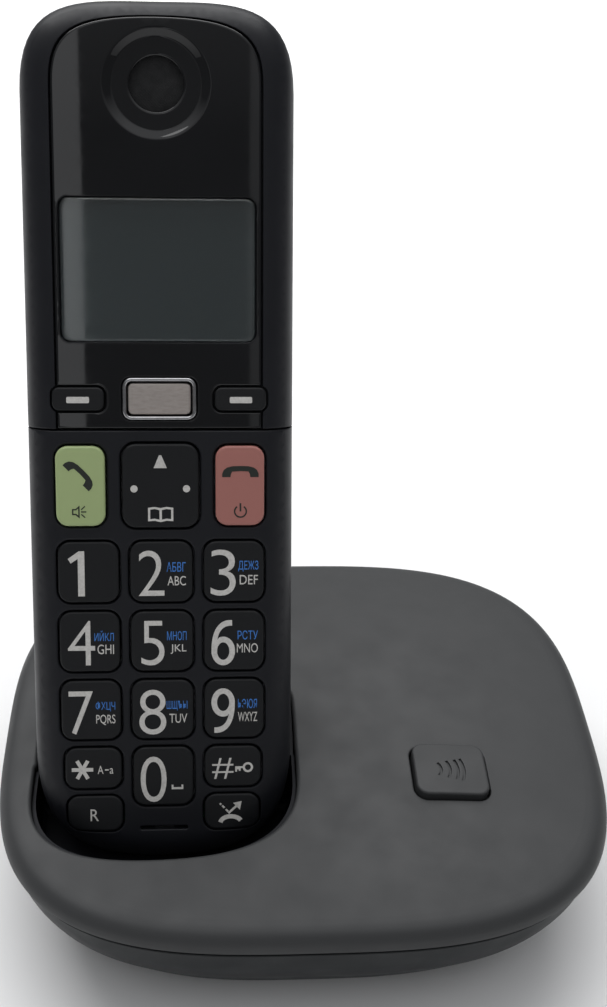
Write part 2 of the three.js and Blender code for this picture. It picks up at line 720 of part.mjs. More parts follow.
function locatorButton() {
  const { x, y, width, height, radius, proud } = BUTTON;
  const slopeX = (topHeight(x + 1, y) - topHeight(x - 1, y)) / 2;
  const slopeY = (topHeight(x, y + 1) - topHeight(x, y - 1)) / 2;
  const tilt = [Math.atan(slopeY) / DEG, -Math.atan(slopeX) / DEG, 0];
  const z = topHeight(x, y);
  const outline = (grow) =>
    roundedRect(-width / 2 - grow, -height / 2 - grow, width / 2 + grow, height / 2 + grow, radius);
  const cap = chamferedPrism(outline(0), -4.6, proud, 0.3).rotate(tilt);
  const flange = prism(outline(1), -5, -3.8, 2).rotate(tilt);
  const stem = rod(0, 0, STEM_Z - z, -4, 1.8, 12);
  return join(cap, flange, stem).translate([x, y, z]);
}

function baseScrew([x, y]) {
  const { head, headHeight, shank, length } = BASE_SCREW;
  const pan = rod(x, y, BASE.floorZ, BASE.floorZ + headHeight, head, 16);
  return join(pan, rod(x, y, BASE.floorZ + headHeight / 2, BASE.floorZ + length, shank, 12));
}

function rubberFoot(x, y) {
  return round(x, y, 0, BASE.floorZ - 0.05, FEET.radius - 0.4, FEET.radius, 20);
}

function buildBase() {
  const base = new THREE.Group();
  addPiece(base, "base_bottom_housing", bottomHousing(), housingGrey);
  addPiece(base, "base_top_cover", topCover(), baseGrey);
  addPiece(base, "cradle_liner", cradleLiner(), gloss);
  const board = box([3, -24, BASE_BOARD.bottom], [38.2, 41.4, BASE_BOARD.top]);
  addPiece(base, "base_circuit_board", board, boardGreen);
  addPiece(base, "line_socket", lineSocket(), rubber);
  addPiece(base, "dc_power_socket", powerSocket(), rubber);
  addPiece(base, "charge_spring_left", chargeSpring(-1), steel);
  addPiece(base, "charge_spring_right", chargeSpring(1), steel);
  addPiece(base, "locator_button", locatorButton(), baseGrey);
  const { x, y } = BUTTON;
  const switchBody = box([x - 3, y - 3, BASE_BOARD.top + GAP], [x + 3, y + 3, STEM_Z - 1.5]);
  addPiece(base, "locator_switch", switchBody, rubber);
  for (const [depthWord, sideY] of [["front", -1], ["rear", 1]]) {
    for (const [sideWord, sideX] of [["left", -1], ["right", 1]]) {
      const foot = rubberFoot(sideX * FEET.x, sideY * FEET.y);
      addPiece(base, `rubber_foot_${depthWord}_${sideWord}`, foot, rubber);
    }
  }
  addPiece(base, "base_screw_left", baseScrew(BASE_SCREWS[0]), steel);
  addPiece(base, "base_screw_right", baseScrew(BASE_SCREWS[1]), steel);
  return base;
}

// ---------------------------------------------------------------- the whole phone

const phone = new THREE.Group();
phone.add(buildBase(), buildHandset());

// the origin goes under the middle of the whole object
const extent = new THREE.Box3().setFromObject(phone, true);
phone.position.set(-(extent.min.x + extent.max.x) / 2, -(extent.min.y + extent.max.y) / 2, -extent.min.z);

export default phone;
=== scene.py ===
import math
from collections import namedtuple

import bmesh
import bpy
import numpy as np
from mathutils import Matrix, Vector, geometry


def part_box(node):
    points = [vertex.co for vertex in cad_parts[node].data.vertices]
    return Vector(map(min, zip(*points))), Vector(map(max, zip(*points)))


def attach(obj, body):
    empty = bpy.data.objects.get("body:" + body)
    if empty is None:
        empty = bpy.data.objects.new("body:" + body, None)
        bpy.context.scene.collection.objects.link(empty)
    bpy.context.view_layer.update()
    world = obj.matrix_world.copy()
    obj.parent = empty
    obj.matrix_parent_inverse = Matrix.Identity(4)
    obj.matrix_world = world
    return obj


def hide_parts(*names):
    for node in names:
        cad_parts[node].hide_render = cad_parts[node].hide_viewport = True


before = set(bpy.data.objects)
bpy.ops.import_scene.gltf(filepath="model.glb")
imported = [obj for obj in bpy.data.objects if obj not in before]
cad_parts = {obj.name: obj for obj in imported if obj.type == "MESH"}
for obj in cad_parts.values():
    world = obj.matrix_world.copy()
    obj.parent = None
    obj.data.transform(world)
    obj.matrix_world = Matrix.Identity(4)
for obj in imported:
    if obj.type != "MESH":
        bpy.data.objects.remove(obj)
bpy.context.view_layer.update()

MM = 0.001
GAP = 0.3  # clearance between neighbouring pieces

# ---------------------------------------------------------------- dimensions

HALF_WIDTH = 61.6
HALF_DEPTH = 54.5
OVAL_POWER = 3.15
RIM_Z = 29.7
CROWN = 4.3
CROWN_EDGE = 0.95
CROWN_POWER = 2.2
SEAM_Z = 25.3
FLOOR_Z = 1.2
BASE_WALL = 2.2

LEAN = math.radians(26.3)
DOCK = Vector((-28.3, -25.6, 28.4))

HALF = 24.9  # half the handset's width
LOW = -9.0
HIGH = 153.7
DEPTH = 28.0
SPLIT = 76.8
PARTING = -12.0
FRONT_ROUND = 6.5
REAR_ROUND = 8.0
REAR_ROUND_DEPTH = 9.0
SHELL = 2.0
FRAME_THICK = 2.6

PANEL_HALF = 18.9
PANEL_TOP = 150.3
PANEL_THICK = 1.6
EAR_Y = 138.8

KEY_GAP = 0.35
KEY_FOOT = -4.2

BUTTON = (28.4, -18.1)
BUTTON_HALF = (7.3, 6.5)


# ---------------------------------------------------------------- frames

def base_frame():
    """The base's own frame: the row's origin is under the middle of the whole phone, not of the base."""
    front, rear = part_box("rubber_foot_front_left"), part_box("rubber_foot_rear_left")
    shift = (front[0].y + front[1].y + rear[0].y + rear[1].y) / 4
    return Matrix.Translation((0, shift, 0))


BASE = base_frame()
HANDSET = BASE @ Matrix.Translation(DOCK * MM) @ Matrix.Rotation(math.pi / 2 - LEAN, 4, "X")
BACK = HANDSET @ Matrix.Rotation(math.pi, 4, "Y")


# ---------------------------------------------------------------- paths in plan

def unit_normals(steps):
    length = np.maximum(np.hypot(steps[:, 0], steps[:, 1]), 1e-9)[:, None]
    return np.column_stack([steps[:, 1], -steps[:, 0]]) / length


def sideways(path, distance, closed=True):
    """Moves a path to its right, which is outwards on a ring that runs anticlockwise."""
    path = np.asarray(path, float)
    if closed:
        before = path - np.roll(path, 1, 0)
        after = np.roll(path, -1, 0) - path
    else:
        steps = np.diff(path, axis=0)
        before = np.vstack([steps[:1], steps])
        after = np.vstack([steps, steps[-1:]])
    first, second = unit_normals(before), unit_normals(after)
    middle = first + second
    middle /= np.maximum(np.hypot(middle[:, 0], middle[:, 1]), 1e-9)[:, None]
    stretch = np.clip((middle * first).sum(1), 0.4, 1)
    return path + middle * (distance / stretch)[:, None]


def straight(start, end, pieces):
    """Points from start up to, but not including, end."""
    t = np.linspace(0, 1, pieces, endpoint=False)[:, None]
    return np.asarray(start, float) * (1 - t) + np.asarray(end, float) * t


def bezier(a, b, c, d, pieces):
    """Points along a cubic from a up to, but not including, d."""
    t = np.linspace(0, 1, pieces, endpoint=False)[:, None]
    a, b, c, d = (np.asarray(p, float) for p in (a, b, c, d))
    return a * (1 - t) ** 3 + 3 * b * t * (1 - t) ** 2 + 3 * c * t ** 2 * (1 - t) + d * t ** 3


def rounded_rect(x0, y0, x1, y1, radius, arc=7, step=2.5, runs=None):
    """An anticlockwise ring. runs fixes how many steps the horizontal and vertical sides have."""
    corners = [(x1 - radius, y0 + radius, -90), (x1 - radius, y1 - radius, 0),
               (x0 + radius, y1 - radius, 90), (x0 + radius, y0 + radius, 180)]
    parts = []
    for i, (cx, cy, start) in enumerate(corners):
        angles = np.radians(start + 90 * np.arange(arc) / arc)
        parts.append(np.column_stack([cx + radius * np.cos(angles), cy + radius * np.sin(angles)]))
        end = math.radians(start + 90)
        last = (cx + radius * math.cos(end), cy + radius * math.sin(end))
        nx, ny, ns = corners[(i + 1) % 4]
        first = (nx + radius * math.cos(math.radians(ns)), ny + radius * math.sin(math.radians(ns)))
        length = math.dist(last, first)
        pieces = runs[(i + 1) % 2] if runs else max(1, math.ceil(length / step))
        parts.append(straight(last, first, pieces))
    return np.vstack(parts)


def circle(x, y, radius, count=48):
    angles = 2 * math.pi * np.arange(count) / count
    return np.column_stack([x + radius * np.cos(angles), y + radius * np.sin(angles)])


def oval(share, count=240):
    """The base's superellipse at a share of its full size."""
    angles = 2 * math.pi * np.arange(count) / count
    across = np.abs(np.cos(angles) / HALF_WIDTH) ** OVAL_POWER
    along = np.abs(np.sin(angles) / HALF_DEPTH) ** OVAL_POWER
    reach = share / (across + along) ** (1 / OVAL_POWER)
    return np.column_stack([reach * np.cos(angles), reach * np.sin(angles)])


def lower_path(top, sides=22, pieces=18):
    """The handset's outline from (-HALF, top) down round the chin and up to (HALF, top)."""
    turn = 14
    return np.vstack([
        straight((-HALF, top), (-HALF, turn), sides),
        bezier((-HALF, turn), (-HALF, LOW + 6), (-0.7 * HALF, LOW), (0, LOW), pieces),
        bezier((0, LOW), (0.7 * HALF, LOW), (HALF, LOW + 6), (HALF, turn), pieces),
        straight((HALF, turn), (HALF, top), sides),
        [(HALF, top)],
    ])


def upper_path(bottom, sides=22, pieces=18):
    """The handset's outline from (HALF, bottom) up over the top and down to (-HALF, bottom)."""
    turn = 137.8
    return np.vstack([
        straight((HALF, bottom), (HALF, turn), sides),
        bezier((HALF, turn), (HALF, HIGH + 1.2), (0.54 * HALF, HIGH), (0, HIGH), pieces),
        bezier((0, HIGH), (-0.54 * HALF, HIGH), (-HALF, HIGH + 1.2), (-HALF, turn), pieces),
        straight((-HALF, turn), (-HALF, bottom), sides),
        [(-HALF, bottom)],
    ])


OUTLINE = np.vstack([lower_path(SPLIT)[:-1], upper_path(SPLIT)[:-1]])


def panel_path(grow, low, pieces=16):
    """The window panel's sides and top, from (-half, low) up over the top and down to (half, low)."""
    half = PANEL_HALF + grow
    high = PANEL_TOP + grow
    turn = 138.5
    sides = int((turn - low) / 0.8)
    return np.vstack([
        straight((-half, low), (-half, turn), sides),
        bezier((-half, turn), (-half, high - 3), (-0.8 * half, high), (0, high), pieces),
        bezier((0, high), (0.8 * half, high), (half, high - 3), (half, turn), pieces),
        straight((half, turn), (half, low), sides),
        [(half, low)],
    ])


def inside(points, ring):
    ax, ay = ring[:, 0], ring[:, 1]
    bx, by = np.roll(ax, -1), np.roll(ay, -1)
    px, py = points[:, :1], points[:, 1:2]
    spans = (ay > py) != (by > py)
    slope = (bx - ax) / np.where(by == ay, 1e-12, by - ay)
    return ((px < ax + (py - ay) * slope) & spans).sum(1) % 2 == 1


def distance_to(points, ring, closed=True):
    """Distance from each point to a polyline."""
    ends = np.roll(ring, -1, 0) if closed else ring[1:]
    starts = ring if closed else ring[:-1]
    best = np.full(len(points), 1e9)
    for a, b in zip(starts, ends):
        along = b - a
        size = max(float(along @ along), 1e-12)
        t = np.clip(((points - a) @ along) / size, 0, 1)
        gap = points - (a + t[:, None] * along)
        best = np.minimum(best, np.hypot(gap[:, 0], gap[:, 1]))
    return best


# ---------------------------------------------------------------- meshes

EDGE_ROW = 0.15  # distance from a plate's edge to the row of points along it


def flat(height):
    return lambda points: np.full(len(points), float(height))


def lip(ring, radius, top, floor, inward, steps=4):
    """Levels of an edge with a rounded lip and a straight wall down to the floor.
    inward is -1 on the outside edge of a plate and 1 round a hole."""
    levels = []
    for k in range(steps + 1):
        angle = math.pi / 2 * k / steps
        level = sideways(ring, inward * radius * (1 - math.sin(angle)))
        levels.append((level, top(level) - radius * (1 - math.cos(angle))))
    levels.append((ring, floor(ring)))
    return levels


def on_plate(points, rings):
    """Which points are inside the first ring and outside all the others."""
    keep = inside(points, rings[0])
    for ring in rings[1:]:
        keep &= ~inside(points, ring)
    return keep


def free_points(rings, spacing):
    """A staggered grid of points on a plate, and a row of points close along each of its edges."""
    low, high = rings[0].min(0), rings[0].max(0)
    rows = [np.zeros((0, 2))]
    for i, y in enumerate(np.arange(low[1] + spacing / 2, high[1], spacing * 0.87)):
        row = np.arange(low[0] + spacing * (0.25 + 0.5 * (i % 2)), high[0], spacing)
        rows.append(np.column_stack([row, np.full(len(row), y)]))
    grid = np.vstack(rows)
    grid = grid[on_plate(grid, rings)]
    for ring in rings:
        grid = grid[distance_to(grid, ring) > spacing * 0.45]
    free = [grid]
    for i, ring in enumerate(rings):
        row = sideways(ring, EDGE_ROW if i else -EDGE_ROW)
        keep = on_plate(row, [rings[0], *[other for j, other in enumerate(rings) if j not in (0, i)]])
        for j, other in enumerate(rings):
            if j != i:
                keep &= distance_to(row, other) > EDGE_ROW * 0.8
        free.append(row[keep])
    return free


def triangulated(rings, spacing):
    """Points, anticlockwise triangles that hold every ring's sides, and the number of each ring point."""
    points = np.vstack([*rings, *free_points(rings, spacing)])
    links, start = [], 0
    for ring in rings:
        links += [(start + i, start + (i + 1) % len(ring)) for i in range(len(ring))]
        start += len(ring)
    made = geometry.delaunay_2d_cdt([Vector(p) for p in points], links, [], 0, 1e-6, True)
    plan, triangles = np.array([tuple(v) for v in made[0]]), np.array(made[2])
    number_of = {source: out for out, sources in enumerate(made[3]) for source in sources}
    corner = plan[triangles]
    area = np.cross(corner[:, 1] - corner[:, 0], corner[:, 2] - corner[:, 0])
    triangles[area < 0] = triangles[area < 0][:, ::-1]
    return plan, triangles, number_of


def plate(edges, top, bottom, spacing):
    """A closed plate as (vertices, faces). Each edge is (levels, blind): levels go from the top surface down,
    the first edge is the outside, and a blind hole is closed by its last level instead of going through."""
    rings = [levels[0][0] for levels, _ in edges]
    plan, triangles, number_of = triangulated(rings, spacing)
    centres = plan[triangles].mean(1)
    above = on_plate(centres, rings)
    under = on_plate(centres, [ring for (_, blind), ring in zip(edges, rings) if not blind])
    count = len(plan)
    vertices = [(x, y, z) for height in (top, bottom) for (x, y), z in zip(plan, height(plan))]
    faces = [tuple(t) for t in triangles[above]]
    faces += [tuple(int(i) + count for i in t[::-1]) for t in triangles[under]]
    start = 0
    for number, (levels, blind) in enumerate(edges):
        first = [number_of[start + i] for i in range(len(rings[number]))]
        start += len(first)
        for i, z in zip(first, levels[0][1]):
            vertices[i] = (vertices[i][0], vertices[i][1], float(z))
        chain = [first]
        for ring, height in levels[1:]:
            chain.append(list(range(len(vertices), len(vertices) + len(ring))))
            vertices += [(x, y, z) for (x, y), z in zip(ring, height)]
        if blind:
            faces.append(tuple(chain[-1]))
        else:
            chain.append([i + count for i in first])
        faces += walls(chain, flip=number > 0)
    return vertices, faces


def walls(chain, flip=False):
    """Quads between rings of vertex numbers, each ring outside or below the one before it."""
    faces = []
    for upper, lower in zip(chain, chain[1:]):
        size = len(upper)
        for i in range(size):
            j = (i + 1) % size
            quad = [upper[i], lower[i], lower[j], upper[j]]
            if flip:
                quad.reverse()
            slim = [v for k, v in enumerate(quad) if v != quad[k - 1]]
            if len(slim) > 2:
                faces.append(tuple(slim))
    return faces


def stacked(levels):
    """The vertices of levels [(ring, height), ...], and the numbers of each ring's vertices."""
    vertices, chain = [], []
    for ring, height in levels:
        heights = np.full(len(ring), height) if np.isscalar(height) else height
        chain.append(list(range(len(vertices), len(vertices) + len(ring))))
        vertices += [(x, y, z) for (x, y), z in zip(ring, heights)]
    return vertices, chain


def loft(levels):
    """A closed solid through levels, from its top cap outwards and down to its bottom cap."""
    vertices, chain = stacked(levels)
    return vertices, walls(chain) + [tuple(chain[0]), tuple(reversed(chain[-1]))]


def block(x0, y0, z0, x1, y1, z1):
    ring = np.array([(x0, y0), (x1, y0), (x1, y1), (x0, y1)], float)
    return loft([(ring, z1), (ring, z0)])


def merged(*parts):
    vertices, faces = [], []
    for more, others in parts:
        shift = len(vertices)
        vertices += list(more)
        faces += [tuple(i + shift for i in face) for face in others]
    return vertices, faces


def moved(part, matrix):
    """A part in millimetres moved by a matrix whose lengths are in millimetres."""
    return [tuple(matrix @ Vector(v)) for v in part[0]], part[1]


def laid(levels):
    """A loft whose rings stand in x and z, and whose levels are places along y."""
    return moved(loft([(ring, -y) for ring, y in levels]), Matrix.Rotation(math.pi / 2, 4, "X"))


def along_y(ring, y0, y1):
    return laid([(ring, y0), (ring, y1)])


def make_object(name, part, matrix=None):
    mesh = bpy.data.meshes.new(name)
    vertices, faces = part
    mesh.from_pydata([(x * MM, y * MM, z * MM) for x, y, z in vertices], [], faces)
    tidy = bmesh.new()
    tidy.from_mesh(mesh)
    bmesh.ops.remove_doubles(tidy, verts=tidy.verts, dist=2e-6)
    bmesh.ops.dissolve_degenerate(tidy, dist=1e-6, edges=tidy.edges)
    tidy.to_mesh(mesh)
    tidy.free()
    obj = bpy.data.objects.new(name, mesh)
    bpy.context.scene.collection.objects.link(obj)
    obj.matrix_world = matrix or Matrix.Identity(4)
    return obj


def boolean(obj, operation, tool):
    """Joins another object to this one, cuts it out or keeps what they share, and removes it."""
    change = obj.modifiers.new("change", "BOOLEAN")
    change.operation = operation
    change.solver = "MANIFOLD"
    change.object = tool
    bpy.context.view_layer.update()
    result = bpy.data.meshes.new_from_object(obj.evaluated_get(bpy.context.evaluated_depsgraph_get()))
    obj.modifiers.clear()
    obj.data = result
    bpy.data.objects.remove(tool)


def combined(obj, operation, *parts):
    """The same with parts that are drawn in the object's own frame."""
    for number, part in enumerate(parts):
        boolean(obj, operation, make_object(f"{obj.name}_tool_{number}", part, obj.matrix_world))


def finish_piece(obj, material, body, replaces=None, crease=32):
    """Smooth shading with flat faces kept flat, a material, and a place on a body."""
    mesh = obj.data
    mesh.materials.clear()
    mesh.materials.append(material)
    mesh.shade_smooth()
    mesh.set_sharp_from_angle(angle=math.radians(crease))
    weighted = obj.modifiers.new("weighted", "WEIGHTED_NORMAL")
    weighted.keep_sharp = True
    weighted.weight = 80
    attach(obj, body)
    if replaces:
        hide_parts(replaces)
    return obj


def piece(name, part, matrix, material, body, replaces=None, crease=32):
    return finish_piece(make_object(name, part, matrix), material, body, replaces, crease)


# ---------------------------------------------------------------- materials

class Nodes:
    """A material's node tree with short ways to make the nodes that the finishes share."""

    def __init__(self, name):
        self.material = bpy.data.materials.new(name)
        self.material.use_nodes = True
        self.tree = self.material.node_tree
        self.shader = self.tree.nodes["Principled BSDF"]
        self.place = self.tree.nodes.new("ShaderNodeTexCoord").outputs["Object"]

    def node(self, kind, source, target, **values):
        """A new node with its values set and one input linked."""
        node = self.tree.nodes.new(f"ShaderNode{kind}")
        for key, value in values.items():
            node.inputs[key.replace("_", " ")].default_value = value
        self.tree.links.new(source, node.inputs[target])
        return node.outputs

    def set(self, **values):
        for key, value in values.items():
            self.shader.inputs[key.replace("_", " ")].default_value = value

    def noise(self, scale, detail=2.0, rough=0.5, stretch=None):
        source = self.place
        if stretch:
            source = self.node("Mapping", source, "Vector", Scale=stretch)["Vector"]
        return self.node("TexNoise", source, "Vector", Scale=scale, Detail=detail, Roughness=rough)["Fac"]

    def colour(self, source, stops):
        """Base colour through a ramp of stops (place, linear colour)."""
        node = self.tree.nodes.new("ShaderNodeValToRGB")
        while len(node.color_ramp.elements) < len(stops):
            node.color_ramp.elements.new(0.5)
        for element, (place, colour) in zip(node.color_ramp.elements, stops):
            element.position = place
            element.color = (*colour, 1)
        self.tree.links.new(source, node.inputs["Fac"])
        self.tree.links.new(node.outputs["Color"], self.shader.inputs["Base Color"])

    def span(self, source, low, high, start=0.3, end=0.7):
        ends = dict(From_Min=start, From_Max=end, To_Min=low, To_Max=high)
        return self.node("MapRange", source, "Value", **ends)["Result"]

    def roughness(self, source, low, high):
        self.tree.links.new(self.span(source, low, high), self.shader.inputs["Roughness"])

    def bump(self, source, strength, distance):
        normal = self.node("Bump", source, "Height", Strength=strength, Distance=distance)["Normal"]
        self.tree.links.new(normal, self.shader.inputs["Normal"])


def linear(code):
    """A colour such as 0x4b4b4d as linear red, green and blue."""
    parts = [(code >> shift & 255) / 255 for shift in (16, 8, 0)]
    return tuple(c / 12.92 if c < 0.04045 else ((c + 0.055) / 1.055) ** 2.4 for c in parts)


def shade(code, factor):
    return tuple(min(c * factor, 1) for c in linear(code))


def moulded(name, code, rough, grain=2600, depth=2.5e-5, strength=0.25, vary=0.06, sheen=0.5):
    """Moulded plastic: a fine grain, slow changes of tone, and patches a little more polished."""
    n = Nodes(name)
    n.colour(n.noise(38, 3), [(0.3, shade(code, 1 - vary)), (0.7, shade(code, 1 + vary))])
    n.roughness(n.noise(140, 4), rough * 0.9, rough * 1.12)
    n.bump(n.noise(grain, 2, 0.6), strength, depth)
    n.set(Specular_IOR_Level=sheen)
    return n.material


def polished(name, code, rough):
    """Glossy plastic with the faint haze and waviness of a moulded face."""
    n = Nodes(name)
    n.colour(n.noise(60, 2), [(0.3, shade(code, 0.85)), (0.7, shade(code, 1.15))])
    n.roughness(n.noise(420, 5, 0.65), rough * 0.6, rough * 1.6)
    n.bump(n.noise(90, 2), 0.05, 4e-5)
    return n.material


def metallic(name, code, rough, stretch=(1, 1, 1), scale=900, strength=0.12, metal=1.0):
    """Bare or plated metal with fine brushing along one direction."""
    n = Nodes(name)
    brushed = n.noise(scale, 3, 0.6, stretch)
    n.colour(brushed, [(0.25, shade(code, 0.82)), (0.75, shade(code, 1.08))])
    n.roughness(brushed, rough * 0.7, rough * 1.4)
    n.bump(brushed, strength, 1.5e-5)
    n.set(Metallic=metal)
    return n.material


def printed_ink(name, code, rough=0.55):
    """Pad-printed ink: slightly uneven in tone and thickness."""
    n = Nodes(name)
    uneven = n.noise(1800, 4, 0.7)
    n.colour(uneven, [(0.28, shade(code, 0.78)), (0.6, linear(code))])
    n.roughness(uneven, rough * 0.85, rough * 1.15)
    n.bump(uneven, 0.2, 1e-5)
    return n.material


def rubbery(name, code):
    n = Nodes(name)
    n.colour(n.noise(220, 4), [(0.3, shade(code, 0.7)), (0.72, shade(code, 1.4))])
    n.roughness(n.noise(700, 3), 0.75, 0.95)
    n.bump(n.noise(1500, 4, 0.7), 0.5, 6e-5)
    return n.material


def smoked_glass(name):
    """The clear window over the display."""
    n = Nodes(name)
    n.colour(n.noise(45, 2), [(0.1, (0.89, 0.93, 0.93)), (0.9, (0.9, 0.94, 0.94))])
    n.roughness(n.noise(500, 4), 0.015, 0.045)
    n.set(IOR=1.49, Transmission_Weight=1.0)
    return n.material


def display(name):
    """An unlit grey-green liquid crystal display: a faint grid of dots under a polariser."""
    n = Nodes(name)
    dots = n.node("Mapping", n.place, "Vector", Scale=(1 / DOT, 1 / DOT, 1))["Vector"]
    tones = dict(Color1=0x20282a, Color2=0x1f2729, Mortar=0x252d2f)
    grid = n.node("TexBrick", dots, "Vector", Scale=1, Brick_Width=1, Row_Height=1, Mortar_Size=0.09,
                  **{part: (*linear(code), 1) for part, code in tones.items()})["Color"]
    grid.node.offset = 0
    n.tree.links.new(grid, n.shader.inputs["Base Color"])
    n.roughness(n.noise(12, 0), 0.27, 0.29)
    return n.material


def circuit_board(name):
    """Green solder mask over copper tracks."""
    n = Nodes(name)
    tracks = n.noise(320, 1, 0.4, (1, 0.12, 1))
    n.colour(tracks, [(0.46, linear(0x174d31)), (0.5, linear(0x2a7a4c)), (0.56, linear(0x174d31))])
    n.roughness(tracks, 0.28, 0.45)
    n.bump(tracks, 0.3, 3e-5)
    return n.material


def battery_wrap(name):
    """A shrink-wrapped cell: a blue sleeve with a pale band near one end."""
    n = Nodes(name)
    along = n.node("SeparateXYZ", n.place, "Vector")["Y"]
    n.colour(n.span(along, 0, 1, 0.031, 0.076), [
        (0.0, linear(0x2c5fa3)), (0.12, linear(0x2c5fa3)), (0.125, linear(0xd6dadd)),
        (0.2, linear(0xd6dadd)), (0.205, linear(0x27568f)), (1.0, linear(0x2c5fa3))])
    n.roughness(n.noise(260, 3), 0.25, 0.4)
    n.bump(n.noise(300, 2), 0.15, 5e-5)
    return n.material


def speaker_cloth(name):
    """Woven acoustic cloth."""
    n = Nodes(name)
    weave = n.node("TexChecker", n.place, "Vector", Scale=3600)["Fac"]
    n.colour(weave, [(0, linear(0x060708)), (1, linear(0x0d0e11))])
    n.roughness(n.noise(500, 3), 0.7, 0.9)
    n.bump(weave, 0.6, 8e-5)
    return n.material


DOT = 0.00034  # the display's dot pitch, in metres
TOP_GREY = moulded("base_top_grey", 0x373839, 0.52, grain=2300, strength=0.35, vary=0.02, sheen=0.3)
HOUSING_GREY = moulded("base_housing_grey", 0x1b1e20, 0.52, grain=2300, strength=0.3, vary=0.05, sheen=0.3)
CHARCOAL = moulded("handset_charcoal", 0x1c1d21, 0.42, grain=3000, strength=0.2, vary=0.05, sheen=0.2)
REAR_CHARCOAL = moulded("handset_rear_charcoal", 0x17181b, 0.45, grain=2200, strength=0.45, depth=4e-5)
KEY_BLACK = moulded("key_black", 0x1a1b1d, 0.47, grain=3200, strength=0.2, vary=0.05, sheen=0.22)
TALK_GREEN = moulded("talk_green", 0xa3b47f, 0.42, grain=3400, strength=0.15, vary=0.03)
OFF_RED = moulded("off_red", 0xa76e66, 0.42, grain=3400, strength=0.15, vary=0.03)
GLOSS = polished("gloss_panel", 0x0a0b0e, 0.02)
LINER = moulded("cradle_black", 0x18191d, 0.5, grain=3000, strength=0.15, vary=0.05, sheen=0.1)
GLASS = smoked_glass("window_glass")
DISPLAY = display("display_grey")
CHROME = metallic("chrome", 0xa4a4a6, 0.12, (1, 1, 1), 700, 0.04)
SILVER = metallic("satin_silver", 0xa39b96, 0.4, (0.3, 1, 1), 2600, 0.05, metal=0.15)
STEEL = metallic("steel", 0xb4b6b8, 0.3, (0.15, 1, 1))
GOLD = metallic("gold", 0xc9a85a, 0.25, (1, 0.2, 1))
INK_WHITE = printed_ink("ink_light_grey", 0xcfcdc9)
INK_BLUE = printed_ink("ink_blue", 0x3f7fd0)
INK_DARK = printed_ink("ink_dark", 0x1d231d)
RUBBER = rubbery("black_rubber", 0x191919)
SOCKET = moulded("socket_black", 0x161719, 0.4, strength=0.15)
MEMBRANE = rubbery("key_membrane", 0x8a8c90)
BOARD = circuit_board("circuit_board")
WRAP = battery_wrap("battery_wrap")
CLOTH = speaker_cloth("speaker_cloth")
DIFFUSER = moulded("backlight_white", 0xe0e0dc, 0.5, strength=0.1, vary=0.02)


# ---------------------------------------------------------------- camera, floor and light

CAMERA_PLACE = (-0.018924, -0.2109495, 0.240194)  # from the base's middle
CAMERA_RIGHT = Vector((0.99782, -0.05585, 0.03509)).normalized()
CAMERA_FORWARD = Vector((0.06580, 0.80624, -0.58791)).normalized()
CAMERA_LENS = 50.21
FLOOR_HALF = 3.0

HORIZON = 0.17
SKY = 0.95
SKY_START, SKY_END = 0.52, 0.9  # heights, as a direction, between which the sky brightens
# each strip's left and right edge as a direction, how soft each edge is, and its strength
STRIPS = [(-0.115, -0.088, 0.03, 0.001, 0.9), (0.029, 0.07, 0.002, 0.03, 0.28)]


def set_camera():
    data = bpy.data.cameras.new("camera")
    data.lens = CAMERA_LENS
    data.sensor_width = 36
    data.clip_start = 0.01
    camera = bpy.data.objects.new("camera", data)
    bpy.context.scene.collection.objects.link(camera)
    above = CAMERA_RIGHT.cross(CAMERA_FORWARD).normalized()
    turn = Matrix((CAMERA_RIGHT, above, -CAMERA_FORWARD)).transposed().to_4x4()
    camera.matrix_world = BASE @ Matrix.Translation(CAMERA_PLACE) @ turn
    bpy.context.scene.camera = camera


def make_floor():
    mesh = bpy.data.meshes.new("floor")
    corners = [(x * FLOOR_HALF, y * FLOOR_HALF, 0) for x, y in ((-1, -1), (1, -1), (1, 1), (-1, 1))]
    mesh.from_pydata(corners, [], [(0, 1, 2, 3)])
    floor = bpy.data.objects.new("floor", mesh)
    bpy.context.scene.collection.objects.link(floor)
    n = Nodes("floor_pale")
    n.colour(n.noise(6, 2), [(0.3, (0.84, 0.84, 0.84)), (0.7, (0.87, 0.87, 0.87))])
    n.set(Roughness=0.9, Specular_IOR_Level=0.1)
    mesh.materials.append(n.material)


def area_light(name, place, target, size, power):
    data = bpy.data.lights.new(name, "AREA")
    data.shape = "RECTANGLE"
    data.size, data.size_y = size
    data.energy = power
    light = bpy.data.objects.new(name, data)
    bpy.context.scene.collection.objects.link(light)
    light.location = place
    light.rotation_euler = (Vector(target) - Vector(place)).to_track_quat("-Z", "Y").to_euler()


